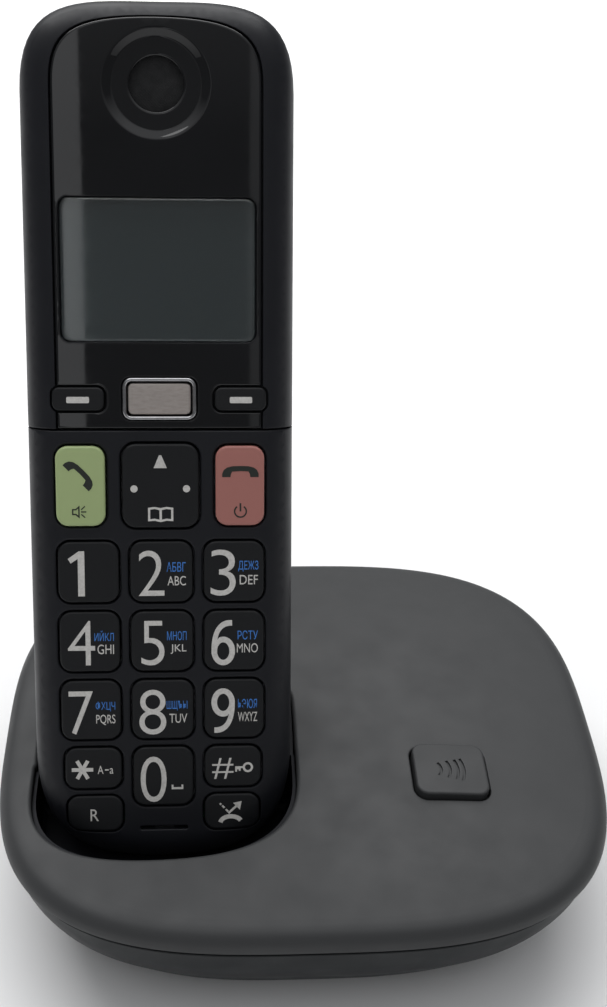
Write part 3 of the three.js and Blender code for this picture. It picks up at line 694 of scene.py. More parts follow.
def set_world():
    """A studio that is bright overhead and dim near the horizon, with two pale strips of wall on the viewer's
    side: the glossy panel mirrors them near its left and right edges."""
    world = bpy.data.worlds.new("studio")
    bpy.context.scene.world = world
    world.use_nodes = True
    tree = world.node_tree

    def node(kind, **values):
        made = tree.nodes.new(f"ShaderNode{kind}")
        for key, value in values.items():
            socket = made.inputs[int(key[-1]) if key.startswith("input") else key.replace("_", " ")]
            if isinstance(value, (int, float)):
                socket.default_value = value
            else:
                tree.links.new(value, socket)
        return made

    def product(first, second):
        made = node("Math", input0=first, input1=second)
        made.operation = "MULTIPLY"
        return made.outputs["Value"]

    def total(first, second):
        return node("Math", input0=first, input1=second).outputs["Value"]

    def slope(source, start, end):
        return node("MapRange", Value=source, From_Min=start, From_Max=end).outputs["Result"]

    split = node("SeparateXYZ", Vector=node("TexCoord").outputs["Generated"])
    facing = slope(split.outputs["Y"], -0.5, -0.6)
    light = total(product(slope(split.outputs["Z"], SKY_START, SKY_END), SKY - HORIZON), HORIZON)
    for left, right, left_soft, right_soft, strength in STRIPS:
        across = product(slope(split.outputs["X"], left - left_soft, left),
                         slope(split.outputs["X"], right + right_soft, right))
        light = total(light, product(product(across, facing), strength))
    background = tree.nodes["Background"]
    background.inputs["Color"].default_value = (0.97, 0.98, 1.0, 1)
    tree.links.new(light, background.inputs["Strength"])


set_camera()
make_floor()
set_world()
area_light("top_softbox", (-0.08, 0.48, 0.88), (0, 0.02, 0.03), (1.2, 0.95), 9.6)
area_light("rear_softbox", (-0.35, 0.75, 0.7), (0, 0.02, 0.04), (0.9, 0.5), 1.6)
bpy.context.scene.view_settings.view_transform = "Standard"


# ---------------------------------------------------------------- base: top cover

def crown_at(share):
    """Height of the crowned top on the oval at a share of the base's full size."""
    return RIM_Z + CROWN * (1 - (share / CROWN_EDGE) ** CROWN_POWER)


def crown_height(points):
    points = np.asarray(points, float)
    return crown_at((np.abs(points[:, 0] / HALF_WIDTH) ** OVAL_POWER
                     + np.abs(points[:, 1] / HALF_DEPTH) ** OVAL_POWER) ** (1 / OVAL_POWER))


def pillow_gap(points, room):
    """How far inside the handset's body, grown by room, points of the base are: above 0 is inside."""
    turn = np.array(Matrix.Rotation(-(math.pi / 2 - LEAN), 3, "X"))
    local = (points - np.array(DOCK)) @ turn.T
    flat_gap = distance_to(local[:, :2], OUTLINE)
    signed = np.where(inside(local[:, :2], OUTLINE), flat_gap, -flat_gap) + room
    front = room - local[:, 2]
    rear = local[:, 2] + DEPTH + room
    radius = FRONT_ROUND
    near = np.minimum(front, rear)
    corner = radius - np.hypot(np.maximum(radius - signed, 0), np.maximum(radius - near, 0))
    return np.where((signed < radius) & (near < radius), corner, np.minimum(signed, near))


POCKET_HALF = 25.3
POCKET_FRONT = -36.2
POCKET_BACK = -12
SCOOP_Z = 17.0


def mouth_ring(grow, pieces=20):
    """The cradle's mouth in plan, ahead of the handset."""
    half, front = POCKET_HALF + grow, POCKET_FRONT - grow
    x = DOCK.x
    return np.vstack([
        bezier((x, front), (x + 0.66 * half, front), (x + half, front + 5), (x + half, front + 18), pieces),
        straight((x + half, front + 18), (x + half, POCKET_BACK), 4),
        straight((x + half, POCKET_BACK), (x - half, POCKET_BACK), 12),
        straight((x - half, POCKET_BACK), (x - half, front + 18), 4),
        bezier((x - half, front + 18), (x - half, front + 5), (x - 0.66 * half, front), (x, front), pieces),
    ])


def cradle_opening(room, count=200):
    """The ring in which the cradle's pocket meets the base's crowned top."""
    mouth = mouth_ring(room)
    centre = np.array([DOCK.x, -18.0])

    def is_open(points):
        height = crown_height(points)
        lifted = np.column_stack([points, height])
        return inside(points, mouth) | (pillow_gap(lifted, 0.4 + room) > 0)

    angles = 2 * math.pi * np.arange(count) / count
    ways = np.column_stack([np.cos(angles), np.sin(angles)])
    near, far = np.zeros(count), np.full(count, 60.0)
    for _ in range(22):
        middle = (near + far) / 2
        opened = is_open(centre + ways * middle[:, None])
        near, far = np.where(opened, middle, near), np.where(opened, far, middle)
    return centre + ways * near[:, None]


def smooth_curve(points, pieces):
    """A Catmull-Rom curve through points."""
    points = np.asarray(points, float)
    ends = np.vstack([2 * points[0] - points[1], points, 2 * points[-1] - points[-2]])
    curve = []
    for a, b, c, d in zip(ends, ends[1:], ends[2:], ends[3:]):
        for t in np.arange(pieces) / pieces:
            curve.append(0.5 * (2 * b + (c - a) * t + (2 * a - 5 * b + 4 * c - d) * t * t
                                + (3 * b - a - 3 * c + d) * t ** 3))
    curve.append(points[-1])
    return np.array(curve)


def top_cover():
    start = 0.925
    start_z = crown_height(oval(start))[0]
    rim = smooth_curve([(start, start_z), (0.95, 29.62), (0.971, 29.1), (0.986, 28.25), (0.9955, 27.3),
                        (0.9995, 26.3)], 4)
    levels = [(oval(share), np.full(240, z)) for share, z in rim]
    levels += [(oval(share), np.full(240, z)) for share, z in
               [(1.0, 25.65), (0.9985, 25.4), (0.995, SEAM_Z), (0.966, SEAM_Z), (0.964, 26.6), (0.95, 27.2)]]
    opening = cradle_opening(0.75)
    under = lambda points: crown_height(points) - BASE_WALL
    hole = lip(opening, 0.8, crown_height, under, 1, steps=6)
    x, y = BUTTON
    half_x, half_y = BUTTON_HALF[0] + 0.4, BUTTON_HALF[1] + 0.4
    button_hole = rounded_rect(x - half_x, y - half_y, x + half_x, y + half_y, 2.8, step=1.5)
    rim_hole = lip(button_hole, 0.3, crown_height, under, 1)
    part = plate([(levels, False), (hole, False), (rim_hole, False)], crown_height, under, 2.0)
    return piece("top_cover_shell", part, BASE, TOP_GREY, "base", "base_top_cover")


# ---------------------------------------------------------------- base: bottom housing

SOCKET_RECESS = dict(x0=-6, x1=32, y=43.6, z0=5, z1=18, wall=1.8)
SCREWS = [(-20, 35), (42, -4)]
SOCKET_DEPTH = (30.6, 44.1)  # from front to rear along y
LINE_SOCKET_X = 22
POWER_BORE = (3, 11.6)  # x and z of its middle


def bottom_housing():
    side = smooth_curve([(0.79, 1.75), (0.828, 4.8), (0.892, 10.4), (0.934, 14.2), (0.968, 19),
                         (0.9855, 23.7)], 4)
    outer = [(0.971, 25.0), (0.972, 24.1), (0.979, 24.02), (0.984, 23.88)]
    below = [(0.782, 1.42), (0.77, 1.25), (0.75, FLOOR_Z)]
    profile = outer + [tuple(p) for p in side[::-1]] + below
    solid_levels = [(oval(share), z) for share, z in profile]
    cavity = [(0.952, 26), (0.95, 24), (0.927, 18), (0.85, 10), (0.765, FLOOR_Z + BASE_WALL)]
    whole = loft(solid_levels)
    shell = make_object("bottom_housing_shell", whole, BASE)
    combined(shell, "DIFFERENCE", loft([(oval(share), z) for share, z in cavity]))
    r = SOCKET_RECESS
    wall = r["wall"]
    room = block(r["x0"] - wall, r["y"] - wall, r["z0"] - wall, r["x1"] + wall, 70, r["z1"] + wall)
    behind = make_object("recess_walls", room, BASE)
    combined(behind, "INTERSECT", whole)
    boolean(shell, "UNION", behind)
    across = rounded_rect(r["x0"], r["z0"], r["x1"], r["z1"], 1.2, arc=5)
    recess = along_y(across, r["y"], 70)
    line_x, power_x = LINE_SOCKET_X, POWER_BORE[0]
    holes = [along_y(rounded_rect(line_x - 6.4, 5.4, line_x + 6.4, 17.6, 0.4, arc=2), 30, 45),
             along_y(rounded_rect(power_x - 4.7, 6.0, power_x + 4.7, 17.4, 0.4, arc=2), 30, 45)]
    screw_holes = []
    for x, y in SCREWS:
        screw_holes.append(loft([(circle(x, y, 1.6, 24), 5), (circle(x, y, 1.6, 24), 0)]))
        screw_holes.append(loft([(circle(x, y, 3.4, 40), FLOOR_Z + 1.1), (circle(x, y, 3.4, 40), 0)]))
    combined(shell, "DIFFERENCE", recess, *holes, *screw_holes)
    return finish_piece(shell, HOUSING_GREY, "base", "base_bottom_housing")


# ---------------------------------------------------------------- base: cradle

def pillow_part(room, steps=6):
    """The handset's whole body grown by room, in the handset's frame."""
    outline = sideways(OUTLINE, room)
    front, rear = room, -DEPTH - room
    levels = []
    for k in range(steps + 1):
        angle = math.pi / 2 * k / steps
        levels.append((sideways(outline, -FRONT_ROUND * (1 - math.sin(angle))),
                       front - FRONT_ROUND * (1 - math.cos(angle))))
    for k in range(steps, -1, -1):
        angle = math.pi / 2 * k / steps
        levels.append((sideways(outline, -FRONT_ROUND * (1 - math.sin(angle))),
                       rear + FRONT_ROUND * (1 - math.cos(angle))))
    return loft(levels)


def docked(part):
    """A part drawn in the handset's frame, moved into the base's."""
    return moved(part, Matrix.Translation(DOCK) @ Matrix.Rotation(math.pi / 2 - LEAN, 4, "X"))


def scoop(grow):
    """The room ahead of the handset, down to the scoop's floor, with a rounded foot."""
    ring, floor = mouth_ring(grow), SCOOP_Z - grow
    levels = [(ring, 60), (ring, floor + 2)]
    for angle in (30, 60, 90):
        turn = math.radians(angle)
        levels.append((sideways(ring, -2 * (1 - math.cos(turn))), floor + 2 * (1 - math.sin(turn))))
    return loft(levels)


SPRING_X = 9.5  # how far the charging contacts are from the handset's middle
SPRING_HALF = 2.3  # half the width of the slots round them


def cradle():
    """The black pocket that the handset stands in."""
    liner = make_object("cradle_pocket", scoop(0.6), BASE)
    boolean(liner, "UNION", make_object("pocket_outside", docked(pillow_part(1.0)), BASE))
    combined(liner, "DIFFERENCE", scoop(0.0), docked(pillow_part(0.4)))
    under_top = [(oval(share), crown_at(share) - 1.6) for share in np.linspace(0.02, 0.95, 26)]
    combined(liner, "INTERSECT", loft(under_top + [(oval(0.95), 2)]))
    slots = [docked(block(x - SPRING_HALF, -15, -20.4, x + SPRING_HALF, -5, -10.6))
             for x in (-SPRING_X, SPRING_X)]
    combined(liner, "DIFFERENCE", *slots)
    return finish_piece(liner, LINER, "base", "cradle_liner", crease=28)


# ---------------------------------------------------------------- base: button, feet, sockets and screws

def ribbon(path, width):
    """An anticlockwise ring round an open path."""
    path = np.asarray(path, float)
    right, left = sideways(path, width / 2, closed=False), sideways(path, -width / 2, closed=False)
    return np.vstack([right, left[::-1]])


def arc(x, y, radius, start, end, pieces=14):
    angles = np.radians(np.linspace(start, end, pieces + 1))
    return np.column_stack([x + radius * np.cos(angles), y + radius * np.sin(angles)])


BUTTON_PROUD = 1.4
BUTTON_FOOT = -4.6
ARC_MIDDLE = (-4.2, -0.35)  # of the engraved arcs, on the button
ARCS = [(2.3, 44), (4.1, 32), (5.7, 26), (6.9, 24)]  # radius, and degrees to each side
THREAD_PITCH = 0.6


def locator_button():
    """The button that makes the handset ring, with four engraved arcs."""
    x, y = BUTTON
    around = crown_height(np.array([(x, y), (x + 1, y), (x - 1, y), (x, y + 1), (x, y - 1)]))
    tilt = (Matrix.Rotation(-math.atan((around[1] - around[2]) / 2), 4, "Y")
            @ Matrix.Rotation(math.atan((around[3] - around[4]) / 2), 4, "X"))
    place = BASE @ Matrix.Translation(Vector((x, y, around[0])) * MM) @ tilt
    half_x, half_y = BUTTON_HALF

    def top(points):
        across, along = points[:, 0] / half_x, points[:, 1] / half_y
        return BUTTON_PROUD - 0.16 * (across ** 2 + along ** 2) / 2

    foot = flat(BUTTON_FOOT)
    outline = rounded_rect(-half_x, -half_y, half_x, half_y, 2.4, arc=9, step=1.2)
    edge = lip(outline, 0.5, top, foot, -1, steps=5)
    engraved = []
    for radius, reach in ARCS:
        ring = ribbon(arc(*ARC_MIDDLE, radius, -reach, reach), 0.5)
        engraved.append((lip(ring, 0.07, top, flat(BUTTON_PROUD - 0.42), 1, steps=2), True))
    part = plate([(edge, False), *engraved], top, foot, 0.9)
    ring = rounded_rect(-8.3, -7.5, 8.3, 7.5, 2.4, arc=4)
    flange = loft([(ring, -3.8), (ring, -5)])
    stem = loft([(circle(0, 0, 1.8, 24), -5), (circle(0, 0, 1.8, 24), -8.2)])
    part = merged(part, flange, stem)
    piece("locator_button_cap", part, place, TOP_GREY, "locator_button", "locator_button")


def feet():
    profile = [(5.0, 1.15), (5.0, 0.75), (4.9, 0.35), (4.7, 0.1), (4.45, 0.0), (3.6, 0.0), (3.3, 0.12),
               (3.0, 0.16)]
    for depth_word, y in (("front", -24), ("rear", 24)):
        for side_word, x in (("left", -34), ("right", 34)):
            part = loft([(circle(x, y, radius, 48), z) for radius, z in profile])
            name = f"{depth_word}_{side_word}"
            piece(f"foot_pad_{name}", part, BASE, RUBBER, "base", f"rubber_foot_{name}")


def screw(name, matrix, radius, height, length, body, node, shank):
    """A pan-head screw with a cross recess. Its head faces up in the matrix given."""
    levels = [(circle(0, 0, radius * share, 40), height * level) for share, level in
              [(0.55, 1.0), (0.75, 0.97), (0.9, 0.86), (0.97, 0.66), (1.0, 0.4), (1.0, 0.0)]]
    levels.append((circle(0, 0, shank * 1.05, 40), 0))
    ridges = 2 * int(length / THREAD_PITCH)
    for k in range(ridges):
        levels.append((circle(0, 0, shank * (1.1 if k % 2 else 0.85), 40), -length * (k + 0.5) / ridges))
    obj = make_object(name, loft(levels), matrix)
    arm, width = radius * 0.52, radius * 0.14
    ring = np.array([(arm, -width), (arm, width), (width, width), (width, arm), (-width, arm),
                     (-width, width), (-arm, width), (-arm, -width), (-width, -width), (-width, -arm),
                     (width, -arm), (width, -width)])
    combined(obj, "DIFFERENCE", loft([(ring * 1.05, height * 1.3), (ring * 0.8, height * 0.35)]))
    finish_piece(obj, STEEL, body, node)


def base_screws():
    for word, (x, y) in zip(("left", "right"), SCREWS):
        place = BASE @ Matrix.Translation(Vector((x, y, FLOOR_Z + 1.0)) * MM)
        upside_down = Matrix.Rotation(math.pi, 4, "X")
        screw(f"housing_screw_{word}", place @ upside_down, 3.0, 0.95, 11.5, "base", f"base_screw_{word}", 1.1)


def tube(path, radius, count=10):
    """A round wire along a path of points in x, y and z."""
    points = [Vector(p) for p in path]
    rings = []
    for i, point in enumerate(points):
        along = (points[min(i + 1, len(points) - 1)] - points[max(i - 1, 0)]).normalized()
        side = along.cross(Vector((1, 0, 0)))
        side = side.normalized() if side.length > 1e-3 else Vector((0, 1, 0))
        other = along.cross(side)
        rings.append([point + radius * (math.cos(a) * side - math.sin(a) * other)
                      for a in (2 * math.pi * k / count for k in range(count))])
    vertices = [tuple(v) for ring in rings for v in ring]
    chain = [list(range(i * count, (i + 1) * count)) for i in range(len(rings))]
    faces = walls(chain) + [tuple(chain[0]), tuple(reversed(chain[-1]))]
    return vertices, faces


def sockets():
    """The two sockets' bodies with rounded mouths, the line socket's sprung contacts and the power pin."""
    body = along_y(rounded_rect(15.8, 5.6, 28.2, 17.4, 0.5, arc=3), *SOCKET_DEPTH)
    body = make_object("line_socket_body", body, BASE)
    opening = np.array([(17.1, 7.6), (26.9, 7.6), (26.9, 14.6), (24, 14.6), (24, 16.4), (20, 16.4),
                        (20, 14.6), (17.1, 14.6)])
    combined(body, "DIFFERENCE",
             laid([(opening, 33.2), (opening, 43.1), (opening, 43.6), (sideways(opening, 0.4), 44.3)]))
    finish_piece(body, SOCKET, "base", "line_socket")
    bend = [(33.6, 14.3), (36.5, 14.0), (39.5, 12.4), (41.2, 11.4), (42.0, 11.6), (42.6, 12.4)]
    wires = [tube([(LINE_SOCKET_X + (k - 2.5) * 1.02, y, z) for y, z in bend], 0.2) for k in range(6)]
    piece("line_socket_contacts", merged(*wires), BASE, GOLD, "base")
    plug = along_y(rounded_rect(-1.5, 6.2, 7.5, 17.2, 0.6, arc=3), *SOCKET_DEPTH)
    plug = make_object("power_socket_body", plug, BASE)
    x, z = POWER_BORE
    bore = laid([(circle(x, z, r, 48), y) for r, y in ((3.1, 35.2), (3.1, 43.7), (3.5, 44.3))])
    combined(plug, "DIFFERENCE", bore)
    finish_piece(plug, SOCKET, "base", "dc_power_socket")
    pin = laid([(circle(x, z, r, 24), y) for r, y in ((0.85, 34.7), (0.85, 42.7), (0.6, 43.1), (0.25, 43.2))])
    piece("power_socket_pin", pin, BASE, STEEL, "base")


# ---------------------------------------------------------------- handset: front shells

CORNER_REACH = 2.0  # distance from the outline up to which points crowd along a cut side
EDGE_LIP = 0.3
FRONT_WALL = [(0.0, PARTING + 0.3), (0.15, PARTING + 0.15), (SHELL, PARTING + 0.15), (SHELL + 0.05, -5.0)]


def round_height(depth_in, radius=FRONT_ROUND, thickness=FRONT_ROUND):
    """Height of a face with a rounded edge, at a distance in from the outline."""
    reach = np.clip(1 - np.asarray(depth_in) / radius, 0, 1)
    return -thickness * (1 - np.sqrt(1 - reach ** 2))


def front_height(points):
    return round_height(distance_to(points, OUTLINE))


def under_front(points):
    return front_height(points) - SHELL


def shell_edge(ring_at, first_inset, floor, thickness=SHELL, radius=FRONT_ROUND, depth=FRONT_ROUND, top=0.0,
               steps=9):
    """Levels of a shell's edge: the big round at the outline, and a small lip along its cut sides."""
    levels = []
    first = math.asin(1 - first_inset / radius)
    for k in range(steps + 1):
        t = k / steps
        inset = radius * (1 - math.sin(first + (math.pi / 2 - first) * t))
        back = EDGE_LIP * (1 - math.sin(math.pi / 2 * t))
        ring, depth_in, cut = ring_at(inset, back, inset)
        dip = np.where(cut, EDGE_LIP * (1 - math.cos(math.pi / 2 * t)), 0)
        levels.append((ring, top + round_height(depth_in, radius, depth) - dip))
    for inset, z in floor:
        ring, depth_in, cut = ring_at(inset, 0, 0)
        walled = (depth_in < SHELL - 1e-6) | (depth_in <= inset + 1e-6)
        levels.append((ring, np.where(walled, z, top + round_height(depth_in, radius, depth) - thickness)))
    return levels


def zone(inset, spread, end, count):
    """Distances from the outline of the points that follow a corner along a cut side."""
    return np.maximum(np.linspace(spread, end, count + 1)[1:], inset)


def cover_ring(inset, back, spread):
    """The keypad cover's ring, drawn in by inset at the outline and by back at the split."""
    high = SPLIT - GAP / 2 - back
    curve = sideways(lower_path(SPLIT - GAP / 2, 22), -inset, closed=False)
    curve[[0, -1], 1] = high
    near = zone(inset, spread, CORNER_REACH, 5)
    middle = np.linspace(HALF - CORNER_REACH, CORNER_REACH - HALF, 20)[1:-1]
    across = np.concatenate([HALF - near, middle, near[::-1] - HALF])
    ring = np.vstack([curve, np.column_stack([across, np.full(len(across), high)])])
    depth_in = np.concatenate([np.full(len(curve), inset), HALF - np.abs(across)])
    cut = np.zeros(len(ring), bool)
    cut[len(curve):] = True
    cut[[0, len(curve) - 1]] = True
    return ring, depth_in, cut


def bitten(path, ring):
    """A path whose stretch inside a hole's ring is replaced by the way round the hole on its left."""
    hit = np.flatnonzero(inside(path, ring))
    start, end = path[hit[0] - 1], path[hit[-1] + 1]
    way = end - start
    back = ring[::-1]
    side = way[0] * (back[:, 1] - start[1]) - way[1] * (back[:, 0] - start[0])
    first = np.flatnonzero((side > 0) & (np.roll(side, 1) <= 0))[0]
    back, side = np.roll(back, -first, 0), np.roll(side, -first)
    count = int((side > 0).sum())

    def crossing(i, j):
        t = side[i] / (side[i] - side[j])
        return back[i] + t * (back[j] - back[i])

    run = np.vstack([crossing(-1, 0), back[:count], crossing(count - 1, count % len(back))])
    return np.vstack([path[:hit[0]], run, path[hit[-1] + 1:]])


Key = namedtuple("Key", "name left bottom right top radius proud material")
KEY_PITCH = 13.5
COLUMNS = [(-19.3, -8.0), (-5.85, 5.85), (8.0, 19.3)]  # left and right edges of the number keys
ROW_1 = (44.1, 55.7)


def number_key(digit):
    (left, right), down = COLUMNS[(digit - 1) % 3], KEY_PITCH * ((digit - 1) // 3)
    return Key(f"key_{digit}", left, ROW_1[0] - down, right, ROW_1[1] - down, 2.3, 0.35, KEY_BLACK)


KEYS = [
    Key("talk_key", -19.35, 58.8, -10.25, 73.8, 2.3, 0.6, TALK_GREEN),
    Key("off_key", 10.25, 58.8, 19.35, 73.8, 2.3, 0.6, OFF_RED),
    *[number_key(digit) for digit in range(1, 10)],
    Key("key_star", -18.8, 7.2, -8, 15.3, 2.2, 0.35, KEY_BLACK),
    Key("key_0", -5.75, 3.6, 5.75, 15.3, 2.3, 0.35, KEY_BLACK),
    Key("key_hash", 8, 7.2, 18.8, 15.3, 2.2, 0.35, KEY_BLACK),
    Key("recall_key", -18.5, -1.5, -7.9, 5.6, 2.2, 0.3, KEY_BLACK),
    Key("call_block_key", 7.9, -1.5, 18.5, 5.6, 2.2, 0.3, KEY_BLACK),
    Key("navigator_key", -7.1, 58.4, 7.1, 74.2, 2.5, 0.45, KEY_BLACK),
]
SOFT_KEYS = [
    Key("soft_key_left", -19.7, 80.4, -10.2, 84.7, 1.3, 0.4, KEY_BLACK),
    Key("soft_key_right", 10.2, 80.4, 19.7, 84.7, 1.3, 0.4, KEY_BLACK),
]
MENU_KEY = Key("menu_key", -5.75, 79.7, 5.75, 85.45, 0.9, 0.45, SILVER)
MENU_RING = (-6.8, 78.65, 6.8, 86.5)
MENU_RING_RADIUS = 1.7
MENU_RING_WIDTH = 0.75


def key_ring(key, grow, step=1.6):
    return rounded_rect(key.left - grow, key.bottom - grow, key.right + grow, key.top + grow,
                        key.radius + grow, step=step)


def round_soft_keys(path):
    """A path beside the window panel, led round the soft keys' holes."""
    for key in SOFT_KEYS:
        path = bitten(path, key_ring(key, KEY_GAP, step=0.8))
    return path


def keypad_cover():
    levels = shell_edge(cover_ring, 1.5, FRONT_WALL)
    holes = []
    for key in KEYS:
        edge = 0.22 if key.bottom < 0 else 0.42
        holes.append((lip(key_ring(key, KEY_GAP), edge, front_height, under_front, 1), False))
    slot = lip(rounded_rect(-4.6, -1.5, 4.6, -0.7, 0.35, arc=5), 0.18, front_height, under_front, 1)
    part = plate([(levels, False), *holes, (slot, False)], front_height, under_front, 1.3)
    piece("keypad_cover_shell", part, HANDSET, CHARCOAL, "handset", "keypad_cover")


FRAME_LOW = SPLIT + GAP / 2
INNER_PATH = round_soft_keys(panel_path(GAP / 2, FRAME_LOW))


def frame_ring(inset, back, spread):
    """The upper frame's ring: the outline, the two cut ends and the edge round the window panel."""
    low = FRAME_LOW + back
    curve = sideways(upper_path(FRAME_LOW, 22), -inset, closed=False)
    curve[[0, -1], 1] = low
    inner = sideways(INNER_PATH, -0.18 * back / EDGE_LIP, closed=False)
    inner[[0, -1], 1] = low
    near = zone(inset, spread, CORNER_REACH, 5)
    edge = HALF - abs(inner[0, 0])
    rest = np.linspace(CORNER_REACH, edge, 5)[1:-1]
    left = np.concatenate([near, rest]) - HALF
    right = -left[::-1]
    ends = [np.column_stack([x, np.full(len(x), low)]) for x in (left, right)]
    ring = np.vstack([curve, ends[0], inner, ends[1]])
    inner_depth = distance_to(inner, OUTLINE)
    inner_depth[[0, -1]] = edge
    depth_in = np.concatenate([np.full(len(curve), inset), left + HALF, inner_depth, HALF - right])
    cut = np.ones(len(ring), bool)
    cut[1:len(curve) - 1] = False
    return ring, depth_in, cut


def front_frame():
    """The frame round the panel, with the shelf that the panel is glued to."""
    band = plate([(shell_edge(frame_ring, 1.5, FRONT_WALL, thickness=FRAME_THICK), False)],
                 front_height, lambda points: front_height(points) - FRAME_THICK, 0.9)
    shelf_edge = round_soft_keys(panel_path(GAP / 2 - 0.02, FRAME_LOW))[::-1]
    top, bottom = flat(-1.9), flat(-3.1)
    rings = [shelf_edge, rounded_rect(-16.5, 94.3, 16.5, 117.7, 1), circle(0, EAR_Y, 6.3),
             rounded_rect(-6.1, 79.35, 6.1, 85.8, 1.25)]
    edges = [([(ring, top(ring)), (ring, bottom(ring))], False) for ring in rings]
    shelf = plate(edges, top, bottom, 4)
    piece("front_frame_shell", merged(band, shelf), HANDSET, CHARCOAL, "handset", "front_frame")


def window_panel():
    """The glossy panel, with the earpiece's dished ring moulded into it."""
    sides = round_soft_keys(panel_path(-GAP / 2, SPLIT + GAP)[::-1])
    ring = np.vstack([sides[:-1], straight(sides[-1], sides[0], 14)])
    level, floor = flat(0), flat(-PANEL_THICK)
    dish = [(9.75, 0), (9.58, -0.02), (9.45, -0.07), (9.3, -0.17), (8.4, -0.68), (8.22, -0.76), (8.0, -0.8),
            (5.35, -0.8), (5.1, -0.84), (4.95, -0.94), (4.9, -1.1), (4.9, -PANEL_THICK)]
    ear = [(circle(0, EAR_Y, radius, 96), np.full(96, z)) for radius, z in dish]
    lens_hole = lip(rounded_rect(-17.85, 92.95, 17.85, 119.05, 1.85), 0.15, level, floor, 1, steps=3)
    bezel_hole = lip(rounded_rect(-6.95, 78.5, 6.95, 86.65, 1.85), 0.2, level, floor, 1, steps=3)
    edges = [(edge, False) for edge in (lip(ring, 0.28, level, floor, -1), ear, lens_hole, bezel_hole)]
    piece("window_panel_gloss", plate(edges, level, floor, 1.6), HANDSET, GLOSS, "handset", "window_panel")


def display_window():
    level = flat(0.45)
    outline = rounded_rect(-17.55, 93.25, 17.55, 118.75, 1.7, arc=9)
    part = plate([(lip(outline, 0.35, level, flat(-1.5), -1, steps=5), False)], level, flat(-1.5), 4)
    lens = piece("window_lens", part, HANDSET, GLASS, "handset", "lcd_lens")
    lens.visible_shadow = False
    glass = rounded_rect(-17.5, 93.3, 17.5, 118.7, 0.6, arc=4)
    top, bottom = flat(-1.62), flat(-1.86)
    sheet = plate([(lip(glass, 0.05, top, bottom, -1, steps=2), False)], top, bottom, 5)
    piece("display_sheet", sheet, HANDSET, DISPLAY, "handset", "lcd_module")


def earpiece():
    """The cloth behind the earpiece's opening, slightly domed."""
    levels = [(circle(0, EAR_Y, radius, 48), z) for radius, z in
              [(1.2, -1.72), (2.6, -1.76), (4.0, -1.82), (5.2, -1.88), (6.0, -1.95), (6.0, -2.4)]]
    piece("earpiece_cloth", loft(levels), HANDSET, CLOTH, "handset", "earpiece_mesh")


# ---------------------------------------------------------------- handset: keys

def from_middle(points, key):
    """Places on a key as shares of its half width and half height."""
    middle = np.array([(key.left + key.right) / 2, (key.bottom + key.top) / 2])
    half = np.array([(key.right - key.left) / 2, (key.top - key.bottom) / 2])
    return (points - middle) / half


def key_surface(key):
    """Height of a key's top. Number keys lean back a little, so that their upper edge sits lower."""
    lean = 0.0 if key.proud > 0.42 else 0.32
    return lambda points: front_height(points) + key.proud - lean * (from_middle(points, key)[:, 1] + 1) / 2


def key_cap(key, surface=None, edge=0.4, spacing=1.6, steps=5, step=1.6):
    surface = surface or key_surface(key)
    levels = lip(key_ring(key, 0, step), edge, surface, flat(KEY_FOOT), -1, steps=steps)
    part = plate([(levels, False)], surface, flat(KEY_FOOT), spacing)
    piece(f"{key.name}_cap", part, HANDSET, key.material, key.name, key.name)


def navigator_surface(points):
    """A shallow dish with a rounded rim."""
    share = np.abs(from_middle(points, KEYS[-1]))
    return KEYS[-1].proud - 0.14 * np.clip(1 - (share ** 4).sum(1), 0, 1)


def menu_surface(points):
    share = from_middle(points, MENU_KEY)
    return key_surface(MENU_KEY)(points) + 0.1 - 0.14 * (share ** 2).sum(1) / 2


def menu_ring():
    """The chrome ring round the menu key, rolled over from its outer edge to its inner one."""
    x0, y0, x1, y1 = MENU_RING
    outer, inner = (rounded_rect(x0 + shrink, y0 + shrink, x1 - shrink, y1 - shrink,
                                 MENU_RING_RADIUS - shrink, arc=10, runs=(8, 4))
                    for shrink in (0, MENU_RING_WIDTH))
    profile = [(0.0, -PANEL_THICK), (0.0, 0.2), (0.06, 0.4), (0.2, 0.54), (0.4, 0.6), (0.6, 0.6), (0.8, 0.52),
               (0.94, 0.38), (1.0, 0.2), (1.0, -PANEL_THICK)]
    vertices, chain = stacked([(outer * (1 - t) + inner * t, height) for t, height in profile])
    part = vertices, walls(chain[::-1] + [chain[-1]])
    piece("menu_key_chrome", part, HANDSET, CHROME, "handset", "menu_key_bezel")


# ---------------------------------------------------------------- printing on the keys

INK = 0.03  # how far the ink stands on the surface
UNDER = 0.05  # how far it reaches below
THINNER = -0.008  # how much slimmer the digits are than the font's, as a share of its height
BY_NAME = {key.name: key for key in KEYS}


def glyphs(text, box, bold=0.0):
    """Text as a thin closed solid that fills the box (left, bottom, right, top)."""
    curve = bpy.data.curves.new("glyphs", "FONT")
    curve.body = text
    curve.extrude = 0.5
    curve.offset = bold
    curve.resolution_u = 6
    holder = bpy.data.objects.new("glyphs", curve)
    bpy.context.scene.collection.objects.link(holder)
    bpy.context.view_layer.update()
    mesh = holder.evaluated_get(bpy.context.evaluated_depsgraph_get()).to_mesh()
    points = np.array([v.co[:] for v in mesh.vertices])
    faces = [tuple(p.vertices) for p in mesh.polygons]
    bpy.data.objects.remove(holder)
    low, high = points.min(0), points.max(0)
    left, bottom, right, top = box
    points[:, 0] = left + (points[:, 0] - low[0]) / (high[0] - low[0]) * (right - left)
    points[:, 1] = bottom + (points[:, 1] - low[1]) / (high[1] - low[1]) * (top - bottom)
    points[:, 2] = np.sign(points[:, 2])
    return points, faces


